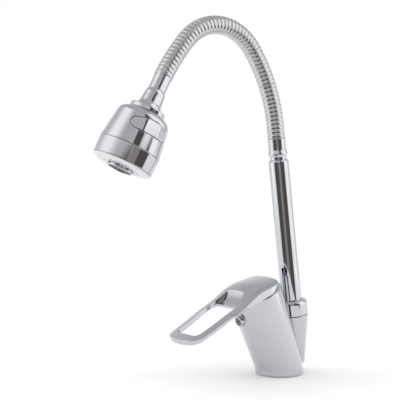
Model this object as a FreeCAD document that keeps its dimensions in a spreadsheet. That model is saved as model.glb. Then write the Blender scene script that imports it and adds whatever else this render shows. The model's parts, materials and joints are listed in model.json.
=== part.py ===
"""Single-lever kitchen mixer with a ribbed stay-put gooseneck and a two-mode spray head.

Millimetres, +Z up.  The origin is the centre of the base on the deck.  The lever and the
spray head point towards -Y, the user's right is +X.  The model is symmetric about X = 0,
apart from the selector button on the head's side.
"""
import FreeCAD, Part
import math
import os

import Sketcher

Vector = FreeCAD.Vector
Rotation = FreeCAD.Rotation
Placement = FreeCAD.Placement

document = FreeCAD.newDocument("SingleLeverMixer")

# ---------------------------------------------------------------------------------------
# Driving dimensions: alias, value, meaning.  Lengths in millimetres, angles in degrees.
# ---------------------------------------------------------------------------------------
DRIVING_DIMENSIONS = [
    # body casting
    ("base_radius", 24.0, "foot of the body on the deck"),
    ("foot_height", 5.0, "upright foot below the flaring body"),
    ("foot_rounding", 2.0, "rounded lower edge of the foot"),
    ("cartridge_lean", 21.0, "forward lean of the cartridge axis"),
    ("rim_distance", 88.0, "deck to the rim of the housing, along the cartridge axis"),
    ("rim_radius", 26.5, "outside of the housing at its rim"),
    ("cartridge_radius", 20.0, "outside of the 40 mm cartridge"),
    ("cartridge_clearance", 0.15, "radial gap round the cartridge"),
    ("cartridge_length", 33.0, "seat of the cartridge to its top"),
    ("cartridge_top_depth", 3.0, "top of the cartridge below the rim"),
    ("nut_radius", 22.6, "thread of the clamping nut"),
    ("nut_bore_radius", 14.2, "opening of the clamping nut"),
    ("nut_rise", 0.4, "clamping nut above the rim"),
    ("base_recess_radius", 17.2, "hollow underside of the foot"),
    ("base_recess_depth", 7.0, "hollow underside of the foot"),
    ("gasket_radius", 21.0, "outside of the base gasket"),
    ("gasket_section", 2.8, "width of the base gasket"),
    ("gasket_groove_depth", 1.8, "groove for the base gasket"),
    ("inlet_radius", 4.5, "threaded M10 x 1 inlet holes, at the thread's crest"),
    ("inlet_spacing", 20.0, "centre to centre of the two inlets"),
    ("inlet_setback", 3.5, "inlets in front of the base centre"),
    ("inlet_depth", 13.0, "thread of an inlet above the hollow underside"),
    ("stud_radius", 3.35, "threaded M8 stud hole, at the thread's crest"),
    ("stud_setback", 9.5, "stud hole behind the base centre"),
    ("stud_depth", 15.0, "thread of the stud hole above the hollow underside"),
    ("waterway_radius", 3.2, "drilled waterways of the casting"),
    # index boss on the housing's front
    ("boss_radius", 5.3, "boss on the front of the housing"),
    ("boss_drop", 17.5, "boss below the rim, along the cartridge axis"),
    ("boss_reach", 28.8, "face of the boss from the cartridge axis"),
    ("boss_recess_radius", 3.9, "recess in the boss"),
    ("boss_recess_depth", 2.6, "recess in the boss"),
    ("plug_gap", 0.1, "plug of the boss in its recess"),
    ("plug_dimple_radius", 0.9, "dimple in the plug"),
    # spout socket and collar
    ("spout_lean", 7.3, "forward lean of the spout axis"),
    ("spout_setback", 25.6, "spout axis behind the base centre, at the deck"),
    ("arm_start", 8.0, "lower end of the spout arm, along the spout axis"),
    ("arm_start_radius", 7.4, "lower end of the spout arm"),
    ("arm_top", 57.0, "top of the spout arm, along the spout axis"),
    ("collar_radius", 15.3, "outside of the spout collar and the arm's top"),
    ("collar_gap", 0.8, "dark gap between arm and collar"),
    ("collar_height", 15.0, "height of the spout collar"),
    ("collar_rounding", 4.0, "rounded upper edge of the collar"),
    ("collar_clearance", 0.5, "gap between the collar and the housing"),
    ("socket_neck_radius", 13.4, "threaded neck that the collar screws on"),
    ("socket_neck_height", 8.5, "threaded neck above the arm"),
    ("socket_radius", 8.8, "bore that the spout turns in"),
    ("socket_depth", 22.0, "bore below the arm's top"),
    # spout tube
    ("tube_radius", 10.0, "outside of the spout tube"),
    ("tube_bore_radius", 9.0, "inside of the spout tube"),
    ("tube_end", 213.0, "top shoulder of the spout tube, along the spout axis"),
    ("tube_shoulder", 2.2, "rounded top shoulder of the spout tube"),
    ("running_gap", 0.08, "radial gap of a running fit"),
    ("flange_thickness", 2.5, "flange of the spout's lower end"),
    ("washer_thickness", 1.2, "slip washer above the flange"),
    ("ring_section", 1.1, "half thickness of the spout's sealing rings"),
    ("ring_pitch", 6.0, "distance of the two sealing rings"),
    # ferrule between tube and gooseneck
    ("neck_groove_radius", 8.2, "narrow neck between tube and ferrule"),
    ("neck_groove_height", 3.0, "tube shoulder to the ferrule's flare"),
    ("flare_radius", 9.7, "flared lower edge of the ferrule"),
    ("ferrule_radius", 8.7, "plain sleeve of the ferrule"),
    ("ferrule_length", 21.0, "tube shoulder to the first rib"),
    ("hose_bore_radius", 5.4, "bore of gooseneck and ferrules"),
    # gooseneck route: straight, three arcs, straight to the ball's centre
    ("rise_length", 32.5, "straight stretch above the tube"),
    ("rise_bend_radius", 150.0, "first gentle bend"),
    ("rise_bend_angle", 30.5, "first gentle bend"),
    ("crown_radius", 50.5, "crown of the arch"),
    ("crown_angle", 99.5, "crown of the arch"),
    ("fall_bend_radius", 200.0, "gentle bend towards the head"),
    ("fall_bend_angle", 13.7, "gentle bend towards the head"),
    ("fall_length", 33.4, "straight stretch down to the ball's centre"),
    ("ribbed_length", 218.0, "ribbed part of the gooseneck"),
    ("rib_radius", 8.65, "crest of a rib"),
    ("rib_root_radius", 7.75, "root between two ribs"),
    ("rib_crest_share", 0.70, "share of a rib's pitch that its crest takes"),
    ("rib_root_share", 0.10, "share of a rib's pitch that its root takes"),
    ("section_gap", 1.6, "gap between two gooseneck sections"),
    ("link_ball_radius", 6.9, "ball that links two sections"),
    ("link_ball_reach", 2.4, "ball's tip beyond the pivot"),
    ("link_gap", 0.3, "gap between a link's ball and its socket"),
    ("inner_hose_radius", 4.7, "outside of the inner water hose"),
    ("inner_hose_bore", 3.4, "bore of the inner water hose"),
    # ball joint
    ("ball_radius", 12.5, "ball of the spray head's joint"),
    ("ball_neck_radius", 10.3, "bell above the ball, at the ball"),
    ("bell_top_radius", 9.5, "bell above the ball, at the sleeve"),
    ("bell_height", 21.0, "ball's centre to the bell's top"),
    ("bell_shoulder", 15.2, "ball's centre to the bell's shoulder"),
    ("bell_shoulder_rounding", 9.0, "rounded shoulder of the bell"),
    ("upper_sleeve_radius", 8.1, "plain sleeve between the last rib and the bell"),
    ("ball_gap", 0.2, "gap between the ball and its seats"),
    ("ball_nut_radius", 16.4, "collar that holds the ball"),
    ("ball_nut_top", 3.2, "collar above the ball's centre"),
    ("ball_nut_bottom", 1.3, "collar below the ball's centre"),
    ("ball_nut_thread", 15.0, "thread of the collar"),
    # spray head, below the ball's centre
    ("head_clock", 5.0, "spray head turned about its axis"),
    ("head_lift", 3.3, "spray head tilted back on its ball"),
    ("head_side", 6.2, "spray head tilted sideways on its ball"),
    ("shell_shoulder_radius", 24.3, "upper shell at its shoulder"),
    ("shell_shoulder_drop", 8.1, "shoulder of the upper shell"),
    ("shell_rounding", 5.5, "rounded shoulder of the upper shell"),
    ("seam_radius", 28.2, "head at the seam of its shells"),
    ("seam_drop", 36.2, "seam of the head's shells"),
    ("seam_gap", 0.35, "seam of the head's shells"),
    ("skirt_radius", 27.7, "lower edge of the head"),
    ("skirt_drop", 51.5, "lower edge of the head"),
    ("shell_wall", 2.0, "wall of the head's shells"),
    ("bevel_radius", 20.5, "inner edge of the bevelled spray plate"),
    ("bevel_height", 2.4, "height of the bevelled spray plate"),
    ("spray_hole_radius", 0.9, "holes of the spray ring"),
    ("spray_ring_radius", 16.2, "circle of the spray holes"),
    ("spray_hole_count", 16, "holes of the spray ring"),
    ("aerator_radius", 12.0, "outside of the aerator"),
    ("aerator_reach", 3.2, "aerator below the spray plate"),
    ("aerator_wall", 1.1, "wall of the aerator's housing"),
    ("aerator_window_count", 8, "air windows of the aerator"),
    ("aerator_window_width", 3.4, "air windows of the aerator"),
    ("aerator_window_height", 1.1, "air windows of the aerator"),
    ("insert_depth", 0.7, "mesh insert behind the aerator's rim"),
    ("core_radius", 13.3, "water core inside the head"),
    # selector button on the head's side
    ("button_half_width", 19.0, "half of the button's width"),
    ("button_rise", 12.4, "height of the button"),
    ("button_drop", 21.9, "straight lower edge of the button"),
    ("button_end_radius", 5.0, "round ends of the button"),
    ("button_facet_angle", 31.0, "turn from one facet of the button to the next"),
    ("button_stand_off", 0.6, "facet edges of the button above the shell"),
    ("button_gap", 0.45, "dark gap round the button"),
    ("button_thickness", 2.8, "button's face to its back"),
    ("button_pivot_radius", 18.0, "pivot of the button from the head's axis"),
    ("button_pin_radius", 1.2, "pin of the button"),
    # handle
    ("lever_pivot_drop", 8.0, "lever's pivot below the rim"),
    ("dome_height", 13.0, "handle's dome above the cartridge axis at the rim"),
    ("dome_crest_height", 14.2, "crest of the handle above the rim"),
    ("dome_crest_reach", 9.0, "crest of the handle in front of the cartridge axis"),
    ("handle_gap", 1.0, "dark gap between handle and rim"),
    ("handle_half_width", 26.0, "half width of the handle's loop"),
    ("handle_tip_half_width", 23.0, "half width of the handle's loop near its tip"),
    ("handle_reach", 99.0, "tip of the handle in front of the cartridge axis"),
    ("handle_tip_corner", 9.0, "rounded corners of the loop's tip"),
    ("handle_tip_bulge", 4.0, "bowed front edge of the loop"),
    ("loop_start", 36.0, "start of the loop's opening"),
    ("loop_end", 89.0, "end of the loop's opening"),
    ("loop_half_width", 18.6, "half width of the loop's opening"),
    ("loop_tip_half_width", 16.4, "half width of the loop's opening near its tip"),
    ("loop_corner", 6.0, "rounded corners of the loop's opening"),
    ("arm_thickness", 5.2, "thickness of the loop's arms"),
    ("arm_root_height", 5.6, "top of the arms where they leave the dome"),
    ("arm_tip_height", -0.6, "top of the arms at the tip"),
    ("rear_cut_start", 0.0, "where the handle's rear edge starts to rise"),
    ("rear_cut_slope", 26.0, "slope of the handle's rear edge"),
    ("handle_wall", 2.2, "wall of the hollow handle"),
    ("handle_pocket_height", 11.5, "hollow of the handle above the rim"),
    ("scoop_radius", 18.0, "concave front of the dome"),
    ("scoop_floor", 3.4, "height of the scoop where the loop's opening starts"),
    ("scoop_start", 19.0, "rear end of the scoop"),
    ("scoop_half_width", 9.5, "half width of the scoop at its rear end"),
    ("hub_clearance", 3.8, "handle's hub above the chrome ring"),
    ("screw_radius", 1.6, "handle's set screw"),
    # dome ring and cartridge
    ("dome_ring_radius", 23.5, "chrome ring under the handle"),
    ("dome_ring_edge", 0.8, "upright edge of the chrome ring"),
    ("dome_ring_height", 1.2, "height of the chrome ring"),
    ("dome_ring_bore", 14.0, "opening of the chrome ring"),
    ("stem_half_width", 4.0, "half width of the square stem"),
    ("stem_top", 10.0, "top of the stem above the rim"),
    ("stem_gap", 0.25, "gap round the moving stem"),
    ("stem_tip_radius", 3.0, "round tip of the stem"),
    ("stem_tip_drop", 12.0, "round tip below the lever's pivot"),
    ("pin_radius", 1.75, "lever's pivot pin"),
    ("rotor_radius", 17.0, "rotor of the cartridge"),
    ("rotor_neck_radius", 12.0, "neck of the rotor through the nut"),
    ("shell_bore", 17.4, "bore of the cartridge's shell"),
    ("disc_radius", 14.3, "moving ceramic disc"),
    ("disc_thickness", 3.6, "ceramic discs"),
    ("carrier_thickness", 4.6, "carrier of the moving disc"),
    ("disc_rest_offset", 2.2, "moving disc behind the axis with the tap shut"),
    ("port_radius", 2.4, "inlet ports of the fixed disc"),
    ("outlet_port_radius", 3.0, "outlet port of the fixed disc"),
    ("port_spread", 8.0, "inlet ports from the middle plane"),
    ("cartridge_base_thickness", 4.2, "base of the cartridge"),
    ("seal_thickness", 1.2, "rubber seals under the cartridge"),
]

sheet = document.addObject("Spreadsheet::Sheet", "Sizes")
for row, (alias, value, meaning) in enumerate(DRIVING_DIMENSIONS, start=1):
    sheet.set("A%d" % row, meaning)
    sheet.set("B%d" % row, repr(value))
    sheet.setAlias("B%d" % row, alias)
document.recompute()


class Size:
    """A length or angle that carries its value and the expression that yields it."""

    def __init__(self, value, text):
        self.value = float(value)
        self.text = text

    @staticmethod
    def of(other):
        return other if isinstance(other, Size) else Size(other, repr(float(other)))

    def combine(self, other, symbol, value):
        return Size(value, "(%s %s %s)" % (self.text, symbol, Size.of(other).text))

    def __add__(self, other):
        return self.combine(other, "+", self.value + Size.of(other).value)

    def __sub__(self, other):
        return self.combine(other, "-", self.value - Size.of(other).value)

    def __mul__(self, other):
        return self.combine(other, "*", self.value * Size.of(other).value)

    def __truediv__(self, other):
        return self.combine(other, "/", self.value / Size.of(other).value)

    def __radd__(self, other):
        return Size.of(other) + self

    def __rsub__(self, other):
        return Size.of(other) - self

    def __rmul__(self, other):
        return Size.of(other) * self

    def __neg__(self):
        return Size(-self.value, "(-1 * %s)" % self.text)

    def __float__(self):
        return self.value


class SheetSizes:
    """Reads a driving dimension from the sheet by its alias."""

    def __getattr__(self, alias):
        return Size(sheet.get(alias), "Sizes." + alias)


size = SheetSizes()
ZERO = Size(0.0, "0")


def sine(angle):
    return Size(math.sin(math.radians(angle.value)), "sin(%s * 1 deg)" % angle.text)


def cosine(angle):
    return Size(math.cos(math.radians(angle.value)), "cos(%s * 1 deg)" % angle.text)


def root(number):
    return Size(math.sqrt(number.value), "sqrt(%s)" % number.text)


def chord_height(radius, offset):
    """Height above a ball's centre at which its outline has the given offset."""
    return root(radius * radius - offset * offset)


def bind(item, property_name, length):
    """Sets a property and ties it to the sheet."""
    length = Size.of(length)
    setattr(item, property_name, length.value)
    if "Sizes." in length.text:
        item.setExpression(property_name, length.text)
    return item


class Frame:
    """A place and a turn about the X axis, then about its own Y and Z axes if they are given."""

    def __init__(self, back=ZERO, up=ZERO, turn=ZERO, side=None, clock=None):
        self.back, self.up, self.turn, self.side, self.clock = back, up, turn, side, clock

    def placement(self):
        turn = Rotation(Vector(1, 0, 0), self.turn.value)
        for own_axis, angle in ((Vector(0, 1, 0), self.side), (Vector(0, 0, 1), self.clock)):
            if angle is not None:
                turn = turn.multiply(Rotation(own_axis, angle.value))
        return Placement(Vector(0, self.back.value, self.up.value), turn)

    def shifted(self, forward, along):
        """The same directions from a point moved forward (-Y) and along (+Z) in this frame."""
        back = self.back - forward * cosine(self.turn) - along * sine(self.turn)
        up = self.up - forward * sine(self.turn) + along * cosine(self.turn)
        return Frame(back, up, self.turn)

    def apply(self, item):
        item.Placement = self.placement()
        item.setExpression("Placement.Base.y", self.back.text)
        item.setExpression("Placement.Base.z", self.up.text)
        if self.side is None and self.clock is None and self.turn.text != "0":
            item.setExpression("Placement.Rotation.Angle", "%s * 1 deg" % self.turn.text)
        return item


DECK = Frame()
CARTRIDGE = Frame(-(size.rim_distance * sine(size.cartridge_lean)),
                  size.rim_distance * cosine(size.cartridge_lean),
                  size.cartridge_lean)
SPOUT = Frame(size.spout_setback, ZERO, size.spout_lean)


# ---------------------------------------------------------------------------------------
# Building blocks
# ---------------------------------------------------------------------------------------
sub_parts = []


def finished(item, label):
    """Marks an object as the sub-part of that name."""
    item.Label = label
    sub_parts.append(item)
    return item


def place_inside(item, frame, position, direction=Vector(0, 0, 1)):
    """Places an item in a frame, with its own Z along the given direction."""
    point = Vector(*[Size.of(number).value for number in position])
    turn = Rotation(Vector(0, 0, 1), direction)
    item.Placement = frame.placement().multiply(Placement(point, turn))
    return item


def cylinder(name, radius, height, frame, position=None, direction=Vector(0, 0, 1)):
    item = document.addObject("Part::Cylinder", name)
    bind(item, "Radius", radius)
    bind(item, "Height", height)
    if position is None:
        return frame.apply(item)
    return place_inside(item, frame, position, direction)


def block(name, width, depth, height, frame, middle, base):
    """A box centred on the given X and Y of its frame, standing on the given height."""
    item = document.addObject("Part::Box", name)
    bind(item, "Length", width)
    bind(item, "Width", depth)
    bind(item, "Height", height)
    corner = (middle[0] - width / 2, middle[1] - depth / 2, base)
    return place_inside(item, frame, corner)


def ball(name, radius, frame, height=0.0):
    item = document.addObject("Part::Sphere", name)
    bind(item, "Radius", radius)
    return place_inside(item, frame, (0, 0, height))


def fused(name, *items):
    joined = document.addObject("Part::MultiFuse", name)
    joined.Shapes = list(items)
    return joined


def minus(name, base, *tools):
    tool = tools[0] if len(tools) == 1 else fused(name + "_tools", *tools)
    rest = document.addObject("Part::Cut", name)
    rest.Base = base
    rest.Tool = tool
    return rest


def shared(name, first, second):
    common = document.addObject("Part::Common", name)
    common.Base = first
    common.Tool = second
    return common


def sketch_on(body, name, role="XZ_Plane"):
    sketch = body.newObject("Sketcher::SketchObject", name)
    plane = [feature for feature in body.Origin.OriginFeatures if feature.Role == role][0]
    sketch.AttachmentSupport = [(plane, "")]
    sketch.MapMode = "FlatFace"
    return sketch


def bulged(start, end, radius):
    """An arc from start to end that bulges to the right of that direction."""
    chord = end - start
    half = chord.Length / 2
    sagitta = abs(radius) - math.sqrt(max(radius * radius - half * half, 0.0))
    side = Vector(chord.y, -chord.x, 0).normalize() * math.copysign(sagitta, radius)
    return Part.Arc(start, (start + end) / 2 + side, end)


def hold(sketch, kind, edge, end, length, name):
    """Ties one coordinate of an edge's end to the sheet."""
    if length.text == "0":
        axis = -2 if kind == "DistanceX" else -1
        sketch.addConstraint(Sketcher.Constraint("PointOnObject", edge, end, axis))
        return
    index = sketch.addConstraint(
        Sketcher.Constraint(kind, -1, 1, edge, end, length.value))
    sketch.renameConstraint(index, name)
    sketch.setExpression("Constraints." + name, length.text)


def draw_outline(sketch, corners):
    """A closed outline of (across, up) corners; a third number makes the next edge an arc."""
    corners = [tuple(Size.of(number) for number in corner) for corner in corners]
    points = [Vector(corner[0].value, corner[1].value, 0) for corner in corners]
    ends = []
    for index, corner in enumerate(corners):
        start, end = points[index], points[(index + 1) % len(points)]
        if len(corner) == 3:
            sketch.addGeometry(bulged(start, end, corner[2].value), False)
            ends.append((1, 2) if corner[2].value > 0 else (2, 1))
        else:
            sketch.addGeometry(Part.LineSegment(start, end), False)
            ends.append((1, 2))
    for index, corner in enumerate(corners):
        following = (index + 1) % len(corners)
        sketch.addConstraint(Sketcher.Constraint(
            "Coincident", index, ends[index][1], following, ends[following][0]))
        hold(sketch, "DistanceX", index, ends[index][0], corner[0], "across_%d" % index)
        hold(sketch, "DistanceY", index, ends[index][0], corner[1], "up_%d" % index)
        if len(corner) == 3:
            radius = corner[2] if corner[2].value > 0 else -corner[2]
            constraint = sketch.addConstraint(
                Sketcher.Constraint("Radius", index, radius.value))
            sketch.renameConstraint(constraint, "bend_%d" % index)
            sketch.setExpression("Constraints.bend_%d" % index, radius.text)


def new_body(name, frame):
    body = document.addObject("PartDesign::Body", name)
    body.Label = name
    return frame.apply(body)


def revolved(name, frame, corners):
    """A turned piece: a closed outline of (radius, height) corners, revolved about Z."""
    body = new_body(name, frame)
    sketch = sketch_on(body, name + "_outline")
    draw_outline(sketch, corners)
    turned = body.newObject("PartDesign::Revolution", name + "_turned")
    turned.Profile = (sketch, [""])
    turned.ReferenceAxis = (sketch, ["V_Axis"])
    turned.Angle = 360
    sketch.Visibility = False
    return body


def padded(name, frame, corners, width, role="YZ_Plane"):
    """A plate of a closed outline, padded to both sides of its plane."""
    body = new_body(name, frame)
    sketch = sketch_on(body, name + "_outline", role)
    draw_outline(sketch, corners)
    pad = body.newObject("PartDesign::Pad", name + "_pad")
    pad.Profile = (sketch, [""])
    pad.SideType = "Symmetric"
    bind(pad, "Length", width)
    return body


def ring_outline(inner, outer, bottom, top):
    return [(inner, bottom), (outer, bottom), (outer, top), (inner, top)]


def around(count, radius, start=0.0):
    """Places on a circle, as (x, y, angle in degrees)."""
    count = int(round(float(count)))
    for index in range(count):
        angle = start + 360.0 * index / count
        yield (radius.value * math.cos(math.radians(angle)),
               radius.value * math.sin(math.radians(angle)), angle)


# ---------------------------------------------------------------------------------------
# Route of the gooseneck, from the tube's shoulder to the ball's centre
# ---------------------------------------------------------------------------------------
ROUTE = [
    ("straight", size.rise_length, None),
    ("bend", size.rise_bend_radius, size.rise_bend_angle),
    ("bend", size.crown_radius, size.crown_angle),
    ("bend", size.fall_bend_radius, size.fall_bend_angle),
    ("straight", size.fall_length, None),
]


def route_stations():
    """Start of each route piece: distance, back, up and turn, all tied to the sheet."""
    start = SPOUT.shifted(ZERO, size.tube_end)
    distance, back, up, turn = ZERO, start.back, start.up, start.turn
    stations = []
    for kind, length, angle in ROUTE:
        stations.append((distance, back, up, turn))
        if kind == "straight":
            back = back - length * sine(turn)
            up = up + length * cosine(turn)
            distance = distance + length
        else:
            after = turn + angle
            back = back + length * (cosine(after) - cosine(turn))
            up = up + length * (sine(after) - sine(turn))
            distance = distance + length * angle * (math.pi / 180)
            turn = after
    stations.append((distance, back, up, turn))
    return stations


STATIONS = route_stations()


def on_route(distance):
    """Point and turn at a distance along the route, as plain numbers."""
    index = 0
    for number, station in enumerate(STATIONS[:-1]):
        if distance >= station[0].value:
            index = number
    start, back, up, turn = [entry.value for entry in STATIONS[index]]
    kind, length, angle = ROUTE[index]
    travelled = distance - start
    if kind == "straight":
        heading = math.radians(turn)
        return Vector(0, back - travelled * math.sin(heading),
                      up + travelled * math.cos(heading)), turn
    after = turn + math.degrees(travelled / length.value)
    first, last = math.radians(turn), math.radians(after)
    return Vector(0, back + length.value * (math.cos(last) - math.cos(first)),
                  up + length.value * (math.sin(last) - math.sin(first))), after


def route_placement(distance):
    point, turn = on_route(distance)
    return Placement(point, Rotation(Vector(1, 0, 0), turn))


def route_circle(distance, radius):
    """A circle square to the route, its start always on the +X side."""
    wire = Part.Wire([Part.Edge(Part.Circle(Vector(), Vector(0, 0, 1), radius))])
    wire.Placement = route_placement(distance)
    return wire


def route_pipe(start, end, radius):
    """A plain round rod along the route."""
    breaks = [station[0].value for station in STATIONS[1:-1]
              if start < station[0].value < end]
    edges = []
    marks = [start] + breaks + [end]
    for first, last in zip(marks[:-1], marks[1:]):
        a, middle, b = [on_route(distance)[0]
                        for distance in (first, (first + last) / 2, last)]
        if middle.distanceToLine(a, b - a) < 1e-6:
            edges.append(Part.makeLine(a, b))
        else:
            edges.append(Part.Arc(a, middle, b).toShape())
    spine = Part.Wire(Part.__sortEdges__(edges))
    return spine.makePipeShell([route_circle(start, radius)], True, False)


# Frame of the spray head: origin at the ball's centre, +Z back up the gooseneck.
BALL_STATION = STATIONS[-1]
BALL = Frame(BALL_STATION[1], BALL_STATION[2], BALL_STATION[3] - 180.0)
HEAD = Frame(BALL.back, BALL.up, BALL.turn + size.head_lift, size.head_side)
CLOCKED_HEAD = Frame(HEAD.back, HEAD.up, HEAD.turn, HEAD.side, -size.head_clock)


# ---------------------------------------------------------------------------------------
# Body casting
# ---------------------------------------------------------------------------------------
cartridge_seat = -(size.cartridge_top_depth + size.cartridge_length)
cartridge_hole = size.cartridge_radius + size.cartridge_clearance
nut_depth = size.cartridge_top_depth * 2.6
collar_bottom = size.arm_top + size.collar_gap
collar_top = collar_bottom + size.collar_height
neck_top = size.arm_top + size.socket_neck_height
socket_floor = size.arm_top - size.socket_depth
peg_radius = size.port_radius * 0.7
peg_height = peg_radius * 1.6


def circle_wire(name, radius, frame):
    item = document.addObject("Part::Circle", name)
    bind(item, "Radius", radius)
    return frame.apply(item)


def drilling(name, radius, start, end):
    """A round passage from one point to another, both in the object's own frame."""
    item = document.addObject("Part::Cylinder", name)
    bind(item, "Radius", radius)
    item.Height = (end - start).Length
    item.Placement = Placement(start, Rotation(Vector(0, 0, 1), end - start))
    return item


def port_places():
    """Inlet ports in front, outlet port behind, in the cartridge's frame."""
    inlet_front = -size.port_spread * 0.55
    return [(size.port_spread, inlet_front, size.port_radius),
            (-size.port_spread, inlet_front, size.port_radius),
            (ZERO, size.port_spread * 1.1, size.outlet_port_radius)]


def point_in(frame, across, back, up):
    position = Vector(Size.of(across).value, Size.of(back).value, Size.of(up).value)
    return frame.placement().multVec(position)


def make_body_casting():
    foot = revolved("foot", DECK, [
        (ZERO, ZERO),
        (size.base_radius - size.foot_rounding, ZERO, size.foot_rounding),
        (size.base_radius, size.foot_rounding),
        (size.base_radius, size.foot_height),
        (ZERO, size.foot_height)])
    foot_circle = circle_wire("foot_circle", size.base_radius,
                              Frame(ZERO, size.foot_height, ZERO))
    rim_circle = circle_wire("rim_circle", size.rim_radius, CARTRIDGE)
    housing = document.addObject("Part::Loft", "housing")
    housing.Sections = [foot_circle, rim_circle]
    housing.Solid = True
    housing.Ruled = True
    arm = document.addObject("Part::Cone", "spout_arm")
    bind(arm, "Radius1", size.arm_start_radius)
    bind(arm, "Radius2", size.collar_radius)
    bind(arm, "Height", size.arm_top - size.arm_start)
    SPOUT.shifted(ZERO, size.arm_start).apply(arm)
    neck = cylinder("socket_neck", size.socket_neck_radius, size.socket_neck_height,
                    SPOUT.shifted(ZERO, size.arm_top))
    boss = cylinder("index_boss", size.boss_radius, size.boss_reach, CARTRIDGE,
                    (0, 0, -size.boss_drop), Vector(0, -1, 0))
    relief = cylinder("collar_relief", size.collar_radius + size.collar_clearance,
                      size.collar_height * 2, SPOUT.shifted(ZERO, size.arm_top))
    outside = fused("casting_outside", foot, minus("relieved_housing", housing, relief),
                    arm, neck, boss)

    bore = cylinder("cartridge_bore", cartridge_hole, -cartridge_seat + size.rim_radius,
                    CARTRIDGE, (0, 0, cartridge_seat))
    nut_bore = cylinder("nut_bore", size.nut_radius, nut_depth + size.rim_radius,
                        CARTRIDGE, (0, 0, -nut_depth))
    boss_recess = cylinder("boss_recess", size.boss_recess_radius, size.boss_recess_depth * 2,
                           CARTRIDGE,
                           (0, -(size.boss_reach - size.boss_recess_depth), -size.boss_drop),
                           Vector(0, -1, 0))
    socket = cylinder("spout_socket", size.socket_radius,
                      size.socket_depth + size.socket_neck_height * 2,
                      SPOUT.shifted(ZERO, socket_floor))
    recess = cylinder("base_recess", size.base_recess_radius, size.base_recess_depth, DECK)
    groove = minus("gasket_groove",
                   cylinder("groove_outside", size.gasket_radius,
                            size.gasket_groove_depth, DECK),
                   cylinder("groove_inside", size.gasket_radius - size.gasket_section,
                            size.gasket_groove_depth, DECK))
    tools = [bore, nut_bore, boss_recess, socket, recess, groove]
    for side in (1, -1):
        across = size.inlet_spacing / 2 * side
        tools.append(cylinder("inlet", size.inlet_radius,
                              size.base_recess_depth + size.inlet_depth, DECK,
                              (across, -size.inlet_setback, 0)))
        top = point_in(DECK, across, -size.inlet_setback,
                       size.base_recess_depth + size.inlet_depth - size.waterway_radius / 3)
        port = port_places()[0 if side > 0 else 1]
        seat = point_in(CARTRIDGE, port[0], port[1], cartridge_seat + size.waterway_radius)
        tools.append(drilling("inlet_waterway", size.waterway_radius, top, seat))
        tools.append(cylinder("peg_hole", peg_radius + 0.1, peg_height * 2, CARTRIDGE,
                              (size.cartridge_radius * 0.72 * side, size.port_spread * 0.4,
                               cartridge_seat - peg_height)))
    outlet = port_places()[2]
    tools.append(drilling("outlet_waterway", size.waterway_radius,
                          point_in(CARTRIDGE, outlet[0], outlet[1],
                                   cartridge_seat + size.waterway_radius),
                          point_in(SPOUT, 0, 0, socket_floor + size.waterway_radius / 2)))
    tools.append(cylinder("stud_hole", size.stud_radius,
                          size.base_recess_depth + size.stud_depth, DECK,
                          (0, size.stud_setback, 0)))
    finished(minus("body_casting", outside, *tools), "body_casting")


def make_base_gasket():
    finished(revolved("base_gasket", DECK, ring_outline(
        size.gasket_radius - size.gasket_section, size.gasket_radius,
        ZERO, size.gasket_groove_depth)), "base_gasket")


def make_index_plug():
    radius = size.boss_recess_radius - size.plug_gap
    base = size.boss_reach - size.boss_recess_depth
    disc = cylinder("plug_disc", radius, size.boss_recess_depth * 0.75, CARTRIDGE,
                    (0, -base, -size.boss_drop), Vector(0, -1, 0))
    dimple = cylinder("plug_dimple", size.plug_dimple_radius, size.boss_recess_depth,
                      CARTRIDGE, (0, -(base + size.boss_recess_depth * 0.4),
                                  -size.boss_drop), Vector(0, -1, 0))
    finished(minus("index_plug", disc, dimple), "index_plug")


# ---------------------------------------------------------------------------------------
# Cartridge, in the cartridge's frame with its origin on the rim's plane
# ---------------------------------------------------------------------------------------
sliding_gap = Size(0.05, "0.05")
base_top = cartridge_seat + size.cartridge_base_thickness
fixed_top = base_top + size.disc_thickness
moving_bottom = fixed_top + sliding_gap
moving_top = moving_bottom + size.disc_thickness
carrier_top = moving_top + size.carrier_thickness
cartridge_top = -size.cartridge_top_depth
shell_roof = size.cartridge_radius - size.shell_bore
rotor_bottom = carrier_top + sliding_gap
rotor_shoulder = cartridge_top - shell_roof - sliding_gap
stem_swing = size.stem_tip_drop * 0.36


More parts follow.
